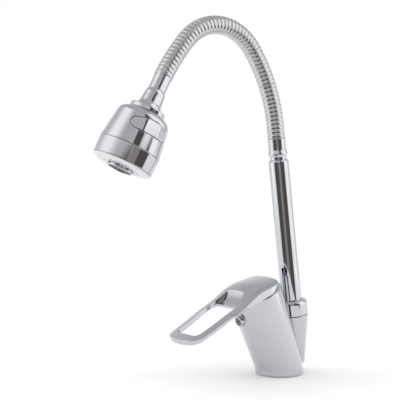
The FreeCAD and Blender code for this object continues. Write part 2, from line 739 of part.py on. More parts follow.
def make_cartridge():
    base = revolved("cartridge_base_blank", CARTRIDGE,
                    ring_outline(ZERO, size.cartridge_radius, cartridge_seat, base_top))
    pegs = [cylinder("peg", peg_radius, peg_height + size.seal_thickness, CARTRIDGE,
                     (size.cartridge_radius * 0.72 * side, size.port_spread * 0.4,
                      cartridge_seat - peg_height))
            for side in (1, -1)]
    ports, seals, disc_ports = [], [], []
    for across, back, radius in port_places():
        ports.append(cylinder("base_port", radius, size.cartridge_base_thickness * 2,
                              CARTRIDGE, (across, back, cartridge_seat - 1.0)))
        ports.append(cylinder("seal_seat", radius + size.seal_thickness + 0.1,
                              size.seal_thickness, CARTRIDGE,
                              (across, back, cartridge_seat)))
        seals.append(minus("port_seal",
                           cylinder("seal_outside", radius + size.seal_thickness,
                                    size.seal_thickness, CARTRIDGE,
                                    (across, back, cartridge_seat)),
                           cylinder("seal_inside", radius, size.seal_thickness * 2,
                                    CARTRIDGE, (across, back, cartridge_seat - 0.5))))
        disc_ports.append(cylinder("disc_port", radius, size.disc_thickness * 2, CARTRIDGE,
                                   (across, back, base_top - 1.0)))
    finished(minus("cartridge_base", fused("base_with_pegs", base, *pegs), *ports),
             "cartridge_base")
    finished(fused("port_seals", *seals), "port_seals")

    finished(revolved("cartridge_shell", CARTRIDGE, [
        (size.shell_bore, base_top),
        (size.cartridge_radius, base_top),
        (size.cartridge_radius, cartridge_top),
        (size.rotor_neck_radius + 0.3, cartridge_top),
        (size.rotor_neck_radius + 0.3, cartridge_top - shell_roof),
        (size.shell_bore, cartridge_top - shell_roof)]), "cartridge_shell")

    fixed = revolved("fixed_disc_blank", CARTRIDGE, ring_outline(
        ZERO, size.shell_bore - size.running_gap, base_top, fixed_top))
    finished(minus("fixed_disc", fixed, *disc_ports), "fixed_disc")

    offset = size.disc_rest_offset
    moving = cylinder("moving_disc_blank", size.disc_radius, size.disc_thickness, CARTRIDGE,
                      (0, offset, moving_bottom))
    passage_front = -size.port_spread * 0.2
    passage_depth = size.port_spread * 1.675
    passage = block("moving_disc_passage", size.port_spread * 2.2, passage_depth,
                    size.disc_thickness * 0.6, CARTRIDGE,
                    (ZERO, passage_front + passage_depth / 2), moving_bottom)
    finished(minus("moving_disc", moving, passage), "moving_disc")

    carrier = cylinder("disc_carrier_blank", size.disc_radius, size.carrier_thickness,
                       CARTRIDGE, (0, offset, moving_top))
    tip_slot = block("carrier_slot", (size.stem_tip_radius + size.stem_gap) * 2,
                     (size.stem_tip_radius + size.stem_gap) * 2, size.carrier_thickness,
                     CARTRIDGE, (ZERO, ZERO), moving_top + size.stem_gap * 2)
    finished(minus("disc_carrier", carrier, tip_slot), "disc_carrier")

    rotor = revolved("rotor_blank", CARTRIDGE, [
        (ZERO, rotor_bottom),
        (size.rotor_radius, rotor_bottom),
        (size.rotor_radius, rotor_shoulder),
        (size.rotor_neck_radius, rotor_shoulder),
        (size.rotor_neck_radius, size.nut_rise),
        (ZERO, size.nut_rise)])
    slot = block("rotor_slot", (size.stem_half_width + size.stem_gap) * 2,
                 (size.stem_half_width + stem_swing) * 2,
                 size.cartridge_length * 2, CARTRIDGE, (ZERO, ZERO), rotor_bottom - 1.0)
    pin_hole = cylinder("rotor_pin_hole", size.pin_radius + sliding_gap,
                        size.rotor_radius * 2, CARTRIDGE,
                        (-size.rotor_radius, 0, -size.lever_pivot_drop), Vector(1, 0, 0))
    finished(minus("cartridge_rotor", rotor, slot, pin_hole), "cartridge_rotor")

    pin_half = size.rotor_radius - size.stem_gap
    finished(cylinder("stem_pin", size.pin_radius, pin_half * 2, CARTRIDGE,
                      (-pin_half, 0, -size.lever_pivot_drop), Vector(1, 0, 0)), "stem_pin")

    tip_height = -(size.lever_pivot_drop + size.stem_tip_drop)
    shank = block("stem_shank", size.stem_half_width * 2, size.stem_half_width * 2,
                  size.stem_top + size.lever_pivot_drop + size.stem_half_width * 1.3,
                  CARTRIDGE, (ZERO, ZERO),
                  -(size.lever_pivot_drop + size.stem_half_width * 1.3))
    finger = cylinder("stem_finger", size.stem_tip_radius * 0.8, size.stem_tip_drop,
                      CARTRIDGE, (0, 0, tip_height))
    tip = ball("stem_tip", size.stem_tip_radius, CARTRIDGE, tip_height)
    stem_hole = cylinder("stem_pin_hole", size.pin_radius + sliding_gap,
                         size.rotor_radius * 2, CARTRIDGE,
                         (-size.rotor_radius, 0, -size.lever_pivot_drop), Vector(1, 0, 0))
    finished(minus("lever_stem", fused("stem_blank", shank, finger, tip), stem_hole),
             "lever_stem")

    thread = size.nut_radius - 0.1
    finished(revolved("cartridge_nut", CARTRIDGE, [
        (cartridge_hole, -nut_depth + 0.1),
        (thread, -nut_depth + 0.1),
        (thread, size.nut_rise),
        (size.nut_bore_radius, size.nut_rise),
        (size.nut_bore_radius, cartridge_top),
        (cartridge_hole, cartridge_top)]), "cartridge_nut")

    seat_radius = size.nut_radius + 0.1
    finished(revolved("dome_ring", CARTRIDGE, [
        (seat_radius, ZERO),
        (size.dome_ring_radius, ZERO),
        (size.dome_ring_radius, size.dome_ring_edge),
        (size.dome_ring_bore + 1.0, size.dome_ring_height),
        (size.dome_ring_bore, size.dome_ring_height),
        (size.dome_ring_bore, size.nut_rise),
        (seat_radius, size.nut_rise)]), "dome_ring")


# ---------------------------------------------------------------------------------------
# Handle: a crowned dome that runs out into an open loop
# ---------------------------------------------------------------------------------------
HANDLE_SECTIONS = 14


def handle_profile():
    """Top and underside of the handle in its middle plane, as (reach, height) points."""
    crest, rear = size.dome_crest_height.value, -size.rim_radius.value - 1.0
    crest_reach, start = size.dome_crest_reach.value, size.loop_start.value
    tip = size.handle_reach.value + 2.0
    span = tip - start
    root, drop = size.arm_root_height.value, (size.arm_root_height - size.arm_tip_height).value
    top = [(rear, crest * 0.42), (rear * 0.64, crest * 0.66), (0.0, size.dome_height.value),
           (crest_reach, crest), (crest_reach * 2, crest * 0.92),
           (start * 0.7, crest * 0.75), (start, crest * 0.50), (start + span * 0.17, root + 0.2),
           (start + span * 0.48, root - drop * 0.42), (tip, root - drop)]
    thick = size.arm_thickness.value
    gap = size.handle_gap.value
    arms = top[-3:]
    underside = [(rear, gap), (start * 0.83, gap)]
    underside += [(reach, height - thick) for reach, height in arms]
    return top, underside


def eased(points, reach):
    """Height at a reach, on a smooth curve through the points that never overshoots."""
    steps = [(b[0] - a[0], (b[1] - a[1]) / (b[0] - a[0])) for a, b in zip(points, points[1:])]
    slopes = [steps[0][1]]
    for (_, before), (_, after) in zip(steps, steps[1:]):
        level = before * after <= 0
        slopes.append(0.0 if level else 2 * before * after / (before + after))
    slopes.append(steps[-1][1])
    index = max(i for i in range(len(steps)) if i == 0 or reach >= points[i][0])
    width = steps[index][0]
    t = (reach - points[index][0]) / width
    curve = Part.BezierCurve()
    low, high = points[index][1], points[index + 1][1]
    curve.setPoles([Vector(0, low, 0), Vector(0, low + slopes[index] * width / 3, 0),
                    Vector(0, high - slopes[index + 1] * width / 3, 0), Vector(0, high, 0)])
    return curve.value(t).y


def crowned_section(reach, low, high, inset):
    """A cross-section with a flat underside, low upright sides and a crowned top."""
    shoulder = low + (high - low) * 0.30
    half = size.handle_half_width.value + 1.0 - inset
    high -= inset
    if inset:
        low = -size.rim_radius.value

    def at(across, height):
        return Vector(across, -reach, height)

    def crown(poles):
        curve = Part.BezierCurve()
        curve.setPoles(poles)
        return curve.toShape()

    lift = shoulder + (high - shoulder) * 0.62
    return Part.Wire([
        Part.makeLine(at(-half, low), at(half, low)),
        Part.makeLine(at(half, low), at(half, shoulder)),
        crown([at(half, shoulder), at(half, lift), at(half * 0.55, high), at(0, high)]),
        crown([at(0, high), at(-half * 0.55, high), at(-half, lift), at(-half, shoulder)]),
        Part.makeLine(at(-half, shoulder), at(-half, low))])


def crowned_loft(name, inset):
    """The handle's outside, or with an inset the hollow below it."""
    top, underside = handle_profile()
    wires = []
    for number in range(HANDLE_SECTIONS):
        share = number / (HANDLE_SECTIONS - 1)
        reach = top[0][0] + share * (top[-1][0] - top[0][0])
        wires.append(crowned_section(reach, eased(underside, reach), eased(top, reach), inset))
    item = document.addObject("Part::Feature", name)
    item.Shape = Part.makeLoft(wires, True, False, False, 5)
    return CARTRIDGE.apply(item)


def make_handle():
    tall = size.dome_crest_height * 4
    corner, bulge = size.handle_tip_corner, size.handle_tip_bulge
    half, tip_half = size.handle_half_width, size.handle_tip_half_width
    reach = size.handle_reach
    bow = (tip_half * tip_half + bulge * bulge) / (bulge * 2)
    side_end = -(size.rim_radius * 1.2)
    corner_start = -(reach - corner - bulge)
    corner_end = -(reach - bulge * 0.55)
    plan = padded("handle_plan", CARTRIDGE, [
        (half, ZERO),
        (half, side_end),
        (tip_half, corner_start, -corner * 1.3),
        (tip_half - corner, corner_end, -bow),
        (-(tip_half - corner), corner_end, -corner * 1.3),
        (-tip_half, corner_start),
        (-half, side_end),
        (-half, ZERO, -half),
        (ZERO, half, -half)], tall, "XY_Plane")
    blank = shared("handle_blank", crowned_loft("handle_outside", 0), plan)

    corner = size.loop_corner
    near, far = size.loop_half_width, size.loop_tip_half_width
    start, end = size.loop_start, size.loop_end
    opening = padded("handle_opening", CARTRIDGE, [
        (near - corner, -start, -corner),
        (near, -(start + corner)),
        (far, -(end - corner), -corner * 1.15),
        (far - corner, -end),
        (-(far - corner), -end, -corner * 1.15),
        (-far, -(end - corner)),
        (-near, -(start + corner), -corner),
        (-(near - corner), -start)], tall, "XY_Plane")
    scoop_centre = (-half, -start, size.scoop_floor + size.scoop_radius)
    across = Vector(1, 0, 0)
    scoop_round = cylinder("scoop_round", size.scoop_radius, half * 2, CARTRIDGE, scoop_centre,
                           across)
    scoop_back, scoop_half = size.scoop_start, size.scoop_half_width
    scoop_plan = padded("scoop_plan", CARTRIDGE, [
        (-scoop_half, -scoop_back, -scoop_half * 2.5),
        (scoop_half, -scoop_back, -scoop_half),
        (scoop_half * 1.35, -(scoop_back + scoop_half * 0.45)),
        (near, -(start + corner)),
        (-near, -(start + corner)),
        (-scoop_half * 1.35, -(scoop_back + scoop_half * 0.45), -scoop_half)], tall, "XY_Plane")
    scoop = shared("dome_scoop", scoop_round, scoop_plan)

    rear = block("rear_cut", size.rim_radius * 3, size.rim_radius * 3, size.rim_radius,
                 CARTRIDGE, (ZERO, ZERO), ZERO)
    rear_start = Placement(Vector(-size.rim_radius.value * 1.5, -size.rear_cut_start.value,
                                  size.handle_gap.value),
                           Rotation(Vector(1, 0, 0), size.rear_cut_slope.value))
    below = Placement(Vector(0, 0, -size.rim_radius.value), Rotation())
    rear.Placement = CARTRIDGE.placement().multiply(rear_start).multiply(below)

    pocket_round = cylinder("handle_pocket_round", size.rim_radius - size.handle_wall,
                            size.handle_pocket_height * 2, CARTRIDGE,
                            (0, 0, -size.handle_pocket_height))
    pocket_blank = shared("handle_pocket_blank", pocket_round,
                          crowned_loft("handle_inside", size.handle_wall.value))
    scoop_wall = cylinder("scoop_wall", size.scoop_radius + size.handle_wall, half * 2,
                          CARTRIDGE, scoop_centre, across)
    pocket = minus("handle_pocket", pocket_blank, scoop_wall)
    hub_radius = size.stem_half_width * 1.75
    hub_bottom = size.dome_ring_height + size.hub_clearance
    hub = cylinder("handle_hub", hub_radius,
                   size.dome_height - size.handle_wall - hub_bottom, CARTRIDGE,
                   (0, 0, hub_bottom))
    socket_width = (size.stem_half_width + sliding_gap) * 2
    socket = block("stem_socket", socket_width, socket_width, size.stem_top * 2,
                   CARTRIDGE, (ZERO, ZERO), -size.stem_top)
    screw_height = size.stem_top - size.screw_radius * 1.28
    screw_length = hub_radius - size.stem_half_width
    screw_hole = cylinder("screw_hole", size.screw_radius + sliding_gap,
                          screw_length + 1.0, CARTRIDGE,
                          (0, size.stem_half_width - 0.2, screw_height), Vector(0, 1, 0))
    hollow = minus("handle_hollow", blank, opening, scoop, rear, pocket)
    finished(minus("handle", fused("handle_with_hub", hollow, hub), socket, screw_hole),
             "handle")
    screw = cylinder("set_screw_blank", size.screw_radius, screw_length, CARTRIDGE,
                     (0, size.stem_half_width, screw_height), Vector(0, 1, 0))
    key = cylinder("set_screw_key", size.screw_radius * 0.5, screw_length, CARTRIDGE,
                   (0, size.stem_half_width + 1.2, screw_height), Vector(0, 1, 0))
    finished(minus("handle_set_screw", screw, key), "handle_set_screw")


# ---------------------------------------------------------------------------------------
# Spout: swivelling lower end, tube and ferrule
# ---------------------------------------------------------------------------------------
flange_bottom = neck_top + sliding_gap
flange_top = flange_bottom + size.flange_thickness
washer_top = flange_top + sliding_gap + size.washer_thickness
collar_roof = washer_top + sliding_gap


def make_spout():
    thread = size.socket_neck_radius + 0.1
    rounding = size.collar_rounding
    finished(revolved("spout_collar", SPOUT, [
        (thread, collar_bottom),
        (size.collar_radius, collar_bottom),
        (size.collar_radius, collar_top - rounding, rounding),
        (size.collar_radius - rounding, collar_top),
        (size.tube_radius + 0.15, collar_top),
        (size.tube_radius + 0.15, collar_roof),
        (thread, collar_roof)]), "spout_collar")
    finished(revolved("slip_washer", SPOUT, ring_outline(
        size.tube_radius + 0.15, size.socket_neck_radius,
        flange_top + sliding_gap, washer_top)), "slip_washer")

    spigot = size.socket_radius - size.running_gap
    ring = size.ring_section
    low_ring = socket_floor + size.ring_pitch
    high_ring = low_ring + size.ring_pitch
    bore = size.hose_bore_radius
    groove = spigot - ring * 1.8
    outline = [(bore, socket_floor + 4.0), (spigot, socket_floor + 4.0)]
    for middle in (low_ring, high_ring):
        outline += [(spigot, middle - ring * 1.1), (groove, middle - ring * 1.1),
                    (groove, middle + ring * 1.1), (spigot, middle + ring * 1.1)]
    outline += [(spigot, flange_bottom), (size.socket_neck_radius - 0.1, flange_bottom),
                (size.socket_neck_radius - 0.1, flange_top),
                (size.tube_bore_radius - 0.05, flange_top),
                (size.tube_bore_radius - 0.05, flange_top + size.ring_pitch * 2),
                (bore, flange_top + size.ring_pitch * 2)]
    finished(revolved("spout_spigot", SPOUT, outline), "spout_spigot")
    rings = []
    for middle in (low_ring, high_ring):
        item = document.addObject("Part::Torus", "sealing_ring")
        bind(item, "Radius1", groove + ring * 0.95)
        bind(item, "Radius2", ring * 0.85)
        rings.append(SPOUT.shifted(ZERO, middle).apply(item))
    finished(fused("spout_sealing_rings", *rings), "spout_sealing_rings")

    shoulder = size.tube_shoulder
    lip = size.tube_radius - shoulder * 0.75
    finished(revolved("spout_tube", SPOUT, [
        (size.tube_bore_radius, flange_top),
        (size.tube_radius, flange_top),
        (size.tube_radius, size.tube_end - shoulder, shoulder),
        (lip, size.tube_end),
        (lip - 0.8, size.tube_end),
        (lip - 0.8, size.tube_end - 1.0),
        (size.tube_bore_radius, size.tube_end - shoulder - 1.0)]), "spout_tube")

    top = SPOUT.shifted(ZERO, size.tube_end)
    spigot_radius = lip - 0.9
    flare_height = size.neck_groove_height + 2.2
    finished(revolved("lower_ferrule", top, [
        (size.hose_bore_radius, -size.ring_pitch),
        (spigot_radius, -size.ring_pitch),
        (spigot_radius, ZERO),
        (size.neck_groove_radius, ZERO),
        (size.neck_groove_radius, size.neck_groove_height),
        (size.flare_radius, flare_height),
        (size.flare_radius, flare_height + 1.0),
        (size.ferrule_radius, flare_height + 4.4),
        (size.ferrule_radius, size.ferrule_length),
        (size.hose_bore_radius, size.ferrule_length)]), "lower_ferrule")


# ---------------------------------------------------------------------------------------
# Gooseneck: ribbed sections linked by hidden balls, with the water hose inside
# ---------------------------------------------------------------------------------------
SECTION_COUNT = 6
RIBS_PER_SECTION = 8
section_length = size.ribbed_length / SECTION_COUNT
rib_pitch = section_length / RIBS_PER_SECTION


def ribbed_rod(start, end, gap_before, gap_after):
    """Ribs as one ruled loft through four circles each, square to the route."""
    pitch = rib_pitch.value
    half_root = pitch * size.rib_root_share.value / 2
    crest = pitch * size.rib_crest_share.value
    flank = (pitch - crest) / 2 - half_root
    circles = []
    for rib in range(RIBS_PER_SECTION):
        before = gap_before if rib == 0 else half_root
        after = gap_after if rib == RIBS_PER_SECTION - 1 else half_root
        left = start + rib * pitch + before
        right = start + (rib + 1) * pitch - after
        for distance, radius in ((left, size.rib_root_radius), (left + flank, size.rib_radius),
                                 (right - flank, size.rib_radius),
                                 (right, size.rib_root_radius)):
            circles.append(route_circle(distance, radius.value))
    return Part.makeLoft(circles, True, True)


def link_ball(distance, radius, start, end):
    """The slice of a ball, centred on the route, between two distances from its centre."""
    sphere = Part.makeSphere(radius)
    slab = Part.makeCylinder(radius * 2, end - start, Vector(0, 0, start))
    piece = sphere.common(slab)
    piece.Placement = route_placement(distance)
    return piece


def make_gooseneck():
    first = size.ferrule_length.value
    length = section_length.value
    half_gap = size.section_gap.value / 2
    hose_gap = half_gap * 0.7
    bore = size.hose_bore_radius.value
    ball_radius = size.link_ball_radius.value
    reach = size.link_ball_reach.value
    for number in range(SECTION_COUNT):
        start = first + number * length
        end = start + length
        is_first = number == 0
        is_last = number == SECTION_COUNT - 1
        shape = ribbed_rod(start, end, 0.0 if is_first else half_gap,
                           0.0 if is_last else half_gap)
        shape = shape.cut(route_pipe(start - 1.0, end + 1.0, bore))
        if not is_first:
            socket = Part.makeSphere(ball_radius + size.link_gap.value)
            socket.Placement = route_placement(start)
            shape = shape.cut(socket)
        if not is_last:
            link = link_ball(end, ball_radius, -reach * 1.3, reach)
            channel = Part.makeCylinder(bore - 0.2, reach * 6, Vector(0, 0, -reach * 3))
            channel.Placement = route_placement(end)
            shape = shape.fuse(link.cut(channel))
        section = document.addObject("Part::Feature", "gooseneck_section_%d" % (number + 1))
        section.Shape = shape
        finished(section, "gooseneck_section_%d" % (number + 1))

        hose_start = size.ferrule_length.value * 0.2 if is_first else start + hose_gap
        hose_end = end + bore if is_last else end - hose_gap
        outer = route_pipe(hose_start, hose_end, size.inner_hose_radius.value)
        inner = route_pipe(hose_start - 0.5, hose_end + 0.5, size.inner_hose_bore.value)
        hose = document.addObject("Part::Feature", "inner_hose_%d" % (number + 1))
        hose.Shape = outer.cut(inner)
        finished(hose, "inner_hose_%d" % (number + 1))


def make_upper_ferrule():
    """Plain sleeve from the last rib to the bell, along the route."""
    start = size.ferrule_length.value + size.ribbed_length.value
    end = STATIONS[-1][0].value - size.bell_height.value
    sleeve = document.addObject("Part::Feature", "upper_ferrule")
    outer = route_pipe(start, end, size.upper_sleeve_radius.value)
    inner = route_pipe(start - 1.0, end + 1.0, size.hose_bore_radius.value)
    sleeve.Shape = outer.cut(inner)
    finished(sleeve, "upper_ferrule")


# ---------------------------------------------------------------------------------------
# Spray head, in the head's frame: origin at the ball's centre, the nozzle towards -Z
# ---------------------------------------------------------------------------------------
seat_radius = size.ball_radius + size.ball_gap
seat_low = size.ball_nut_bottom * 0.3
washer_low = seat_low + 2.6


def make_ball_joint():
    radius = size.ball_radius
    bore = size.hose_bore_radius
    finished(revolved("swivel_ball", BALL, [
        (bore, -chord_height(radius, bore), radius),
        (size.ball_neck_radius, chord_height(radius, size.ball_neck_radius)),
        (size.bell_top_radius, size.bell_shoulder, size.bell_shoulder_rounding),
        (size.upper_sleeve_radius, size.bell_height),
        (bore, size.bell_height)]), "swivel_ball")
    top = size.ball_nut_top
    rounding = size.ball_nut_radius - size.ball_nut_thread
    finished(revolved("ball_nut", HEAD, [
        (chord_height(seat_radius, seat_low), -seat_low, seat_radius),
        (chord_height(seat_radius, top), top),
        (size.ball_nut_radius - rounding, top, -rounding),
        (size.ball_nut_radius, top - rounding),
        (size.ball_nut_radius, -size.ball_nut_bottom),
        (size.ball_nut_thread, -size.ball_nut_bottom),
        (size.ball_nut_thread, -seat_low)]), "ball_nut")
    washer_radius = size.ball_nut_thread - 1.5
    finished(revolved("ball_washer", HEAD, [
        (chord_height(seat_radius, washer_low), -washer_low, seat_radius),
        (chord_height(seat_radius, seat_low + 0.1), -(seat_low + 0.1)),
        (washer_radius, -(seat_low + 0.1)),
        (washer_radius, -washer_low)]), "ball_washer")


def prism(name, corners, length):
    """An outline of (tangential, axial) corners, padded outwards from the head's axis."""
    body = new_body(name, CLOCKED_HEAD)
    sketch = sketch_on(body, name + "_outline", "YZ_Plane")
    draw_outline(sketch, corners)
    pad = body.newObject("PartDesign::Pad", name + "_pad")
    pad.Profile = (sketch, [""])
    bind(pad, "Length", length)
    return body


def button_outline(grow):
    """Lens outline of the button: straight below, bowed above, with round ends."""
    end = size.button_end_radius + grow
    half = size.button_half_width + grow
    low = -(size.button_drop + grow)
    shoulder = half - end / 2
    shoulder_height = low + end * 1.7
    rise = size.button_rise - size.button_drop + grow - shoulder_height
    bow = (shoulder * shoulder + rise * rise) / (rise * 2)
    return [(end - half, low), (half - end, low, end), (shoulder, shoulder_height, bow),
            (-shoulder, shoulder_height, end)]


def shell_profile(stand_off, drop):
    """Outside of the upper shell, from its rounded shoulder down to a drop."""
    slope = (size.seam_radius - size.shell_shoulder_radius) / (
        size.seam_drop - size.shell_shoulder_drop)
    radius = size.shell_shoulder_radius + slope * (drop - size.shell_shoulder_drop)
    return [(size.shell_shoulder_radius - size.shell_rounding * 0.87 + stand_off,
             size.shell_rounding - size.shell_shoulder_drop, -size.shell_rounding * 1.37),
            (size.shell_shoulder_radius + stand_off, -size.shell_shoulder_drop),
            (radius + stand_off, -drop)]


def make_head_shells():
    wall = size.shell_wall
    top = -(size.ball_nut_bottom + 0.1)
    hole = size.ball_nut_thread + 0.1
    inside = size.shell_shoulder_radius - wall
    blank = revolved("upper_shell_blank", HEAD, [
        (size.seam_radius - wall, -size.seam_drop),
        (inside - 0.1, -(size.shell_shoulder_drop + wall * 0.6)),
        (inside - size.shell_rounding * 0.62, -(size.shell_shoulder_drop - wall * 1.65)),
        (hole, top - wall),
        (hole, top),
        (size.ball_nut_radius - 0.2, top)] + shell_profile(ZERO, size.seam_drop))
    window = prism("button_window", button_outline(size.button_gap), size.seam_radius * 2)
    finished(minus("head_upper_shell", blank, window), "head_upper_shell")

    skirt_top = -(size.seam_drop + size.seam_gap)
    lip = size.seam_radius - wall - 0.05
    finished(revolved("head_skirt", HEAD, [
        (plate_radius + 0.1, -size.skirt_drop),
        (plate_radius + 0.1, skirt_top + wall * 1.5),
        (lip - 0.5, skirt_top + wall * 1.5),
        (lip, skirt_top),
        (size.seam_radius, skirt_top),
        (size.skirt_radius, -size.skirt_drop)]), "head_skirt")


plate_radius = size.skirt_radius - size.shell_wall * 1.5
plate_top = -(size.skirt_drop - size.shell_wall)
plate_bottom = -(size.skirt_drop + size.bevel_height)
core_bottom = plate_top + 0.1
aerator_hole = size.aerator_radius + sliding_gap
chamber_inner = aerator_hole + size.aerator_wall
chamber_outer = size.spray_ring_radius * 2 - chamber_inner
seal_ledge = core_bottom + 4.5
seal_bottom = seal_ledge - 1.4
plate_seal_inner = chamber_outer + 1.0
plate_seal_outer = plate_seal_inner + 2.0
plate_seal_top = core_bottom + 1.1


def make_spray_plate():
    rim = -(size.skirt_drop + size.seam_gap)
    chamber_floor = plate_bottom + 2.5
    blank = revolved("spray_plate_blank", HEAD, [
        (aerator_hole, plate_bottom),
        (aerator_hole, plate_top),
        (chamber_inner, plate_top),
        (chamber_inner, chamber_floor),
        (chamber_outer, chamber_floor),
        (chamber_outer, plate_top),
        (plate_radius, plate_top),
        (plate_radius, rim),
        (size.skirt_radius - 0.3, rim),
        (size.skirt_radius - 0.3, rim - 0.5, -size.bevel_height * 4.2),
        (size.bevel_radius, plate_bottom)])
    holes = [cylinder("spray_hole", size.spray_hole_radius, size.bevel_height * 2, HEAD,
                      (x, y, plate_bottom - 1.0))
             for x, y, angle in around(size.spray_hole_count, size.spray_ring_radius)]
    finished(minus("spray_plate", blank, *holes), "spray_plate")
    finished(revolved("spray_plate_seal", HEAD, ring_outline(
        plate_seal_inner, plate_seal_outer, plate_top, plate_seal_top)), "spray_plate_seal")


def make_aerator():
    inner = size.aerator_radius - size.aerator_wall
    bottom = plate_bottom - size.aerator_reach
    blank = revolved("aerator_blank", HEAD, [
        (inner, bottom),
        (inner, seal_bottom),
        (size.aerator_radius, seal_bottom),
        (size.aerator_radius, bottom + 0.6),
        (size.aerator_radius - 0.6, bottom)])
    windows = []
    height = (bottom + plate_bottom) / 2 - size.aerator_window_height / 2 + 0.4
    for x, y, angle in around(size.aerator_window_count, size.aerator_radius):
        window = document.addObject("Part::Box", "aerator_window")
        bind(window, "Length", size.aerator_wall * 3)
        bind(window, "Width", size.aerator_window_width)
        bind(window, "Height", size.aerator_window_height)
        turn = Placement(Vector(0, 0, height.value), Rotation(Vector(0, 0, 1), angle))
        corner = Vector((inner - 0.5).value, -size.aerator_window_width.value / 2, 0)
        window.Placement = HEAD.placement().multiply(turn).multiply(
            Placement(corner, Rotation()))
        windows.append(window)
    finished(minus("aerator_housing", blank, *windows), "aerator_housing")

    outside = inner - sliding_gap * 2
    mesh_bottom = bottom + size.insert_depth
    mesh_top = mesh_bottom + 1.6
    insert = revolved("aerator_insert_blank", HEAD, [
        (ZERO, mesh_bottom),
        (ZERO, mesh_top),
        (outside - 1.6, mesh_top),
        (outside - 1.6, mesh_top + 1.0),
        (outside - 1.0, mesh_top + 1.0),
        (outside - 1.0, seal_bottom),
        (outside, seal_bottom),
        (outside, mesh_bottom)])
    radius = size.spray_hole_radius
    holes = [cylinder("mesh_hole", radius, 4.0, HEAD, (0, 0, mesh_bottom - 1.0))]
    for ring, count in ((1, 6), (2, 12)):
        for x, y, angle in around(count, outside * 0.36 * ring, 15.0 * ring):
            holes.append(cylinder("mesh_hole", radius, 4.0, HEAD, (x, y, mesh_bottom - 1.0)))
    finished(minus("aerator_insert", insert, *holes), "aerator_insert")
    finished(revolved("aerator_seal", HEAD, ring_outline(
        outside - 2.5, size.aerator_radius, seal_bottom, seal_ledge - 0.05)), "aerator_seal")


def make_head_core():
    bore = size.hose_bore_radius
    neck = size.ball_nut_thread - 0.1
    cup = size.ball_nut_thread - 1.4
    shoulder = -(size.ball_nut_bottom + size.shell_wall + 0.2)
    cup_floor = -(washer_low + 0.1)
    flange = plate_seal_outer + 1.0
    blank = revolved("head_core_blank", HEAD, [
        (aerator_hole, core_bottom),
        (aerator_hole, seal_ledge),
        (bore, seal_ledge),
        (bore, -chord_height(seat_radius, bore), seat_radius),
        (chord_height(seat_radius, -cup_floor), cup_floor),
        (cup, cup_floor),
        (cup, -(seat_low + 0.1)),
        (neck, -(seat_low + 0.1)),
        (neck, shoulder),
        (neck + 1.7, shoulder - 0.8),
        (neck + 1.7, shoulder - 2.4),
        (size.core_radius, shoulder - 3.4),
        (size.core_radius, seal_ledge + 4.6),
        (size.core_radius + 5.9, seal_ledge + 2.6),
        (flange, core_bottom + 2.5),
        (flange, core_bottom),
        (plate_seal_outer + 0.1, core_bottom),
        (plate_seal_outer + 0.1, plate_seal_top + 0.1),
        (plate_seal_inner - 0.1, plate_seal_top + 0.1),
        (plate_seal_inner - 0.1, core_bottom)])
    brackets, holes = [], []
    reach = size.button_pivot_radius + 1.6
    for height in (bracket_top - bracket_thickness, bracket_low):
        brackets.append(block("pin_bracket", reach - size.core_radius + 1.0, 4.8,
                              bracket_thickness, CLOCKED_HEAD,
                              ((reach + size.core_radius - 1.0) / 2, ZERO), height))
    holes.append(cylinder("bracket_hole", size.button_pin_radius + sliding_gap,
                          bracket_top - bracket_low + 2.0, CLOCKED_HEAD,
                          (size.button_pivot_radius, 0, bracket_low - 1.0)))
    holes.append(cylinder("diverter_pocket", flap_radius + 1.2, size.core_radius,
                          CLOCKED_HEAD, (bore * 0.6, 0, flap_height), Vector(1, 0, 0)))
    for x, y, angle in around(4, size.spray_ring_radius, 45.0):
        holes.append(cylinder("spray_drop", 1.3, seal_ledge - core_bottom + 1.6, HEAD,
                              (x, y, core_bottom - 0.5)))
        direction = Vector(x, y, 0)
        holes.append(cylinder("spray_feed", 1.1, size.spray_ring_radius - bore + 1.5, HEAD,
                              (x * 0.3, y * 0.3, seal_ledge + 1.5), direction))
    finished(minus("head_core", fused("head_core_brackets", blank, *brackets), *holes),
             "head_core")


button_low = -size.button_drop
bracket_thickness = Size(1.6, "1.6")
bracket_top = button_low + size.button_rise - 1.4
bracket_low = button_low - 1.0 - bracket_thickness
lug_bottom = button_low + 0.2
lug_top = bracket_top - bracket_thickness - 0.3
flap_radius = size.button_pin_radius * 1.5
flap_height = (lug_bottom + lug_top) / 2


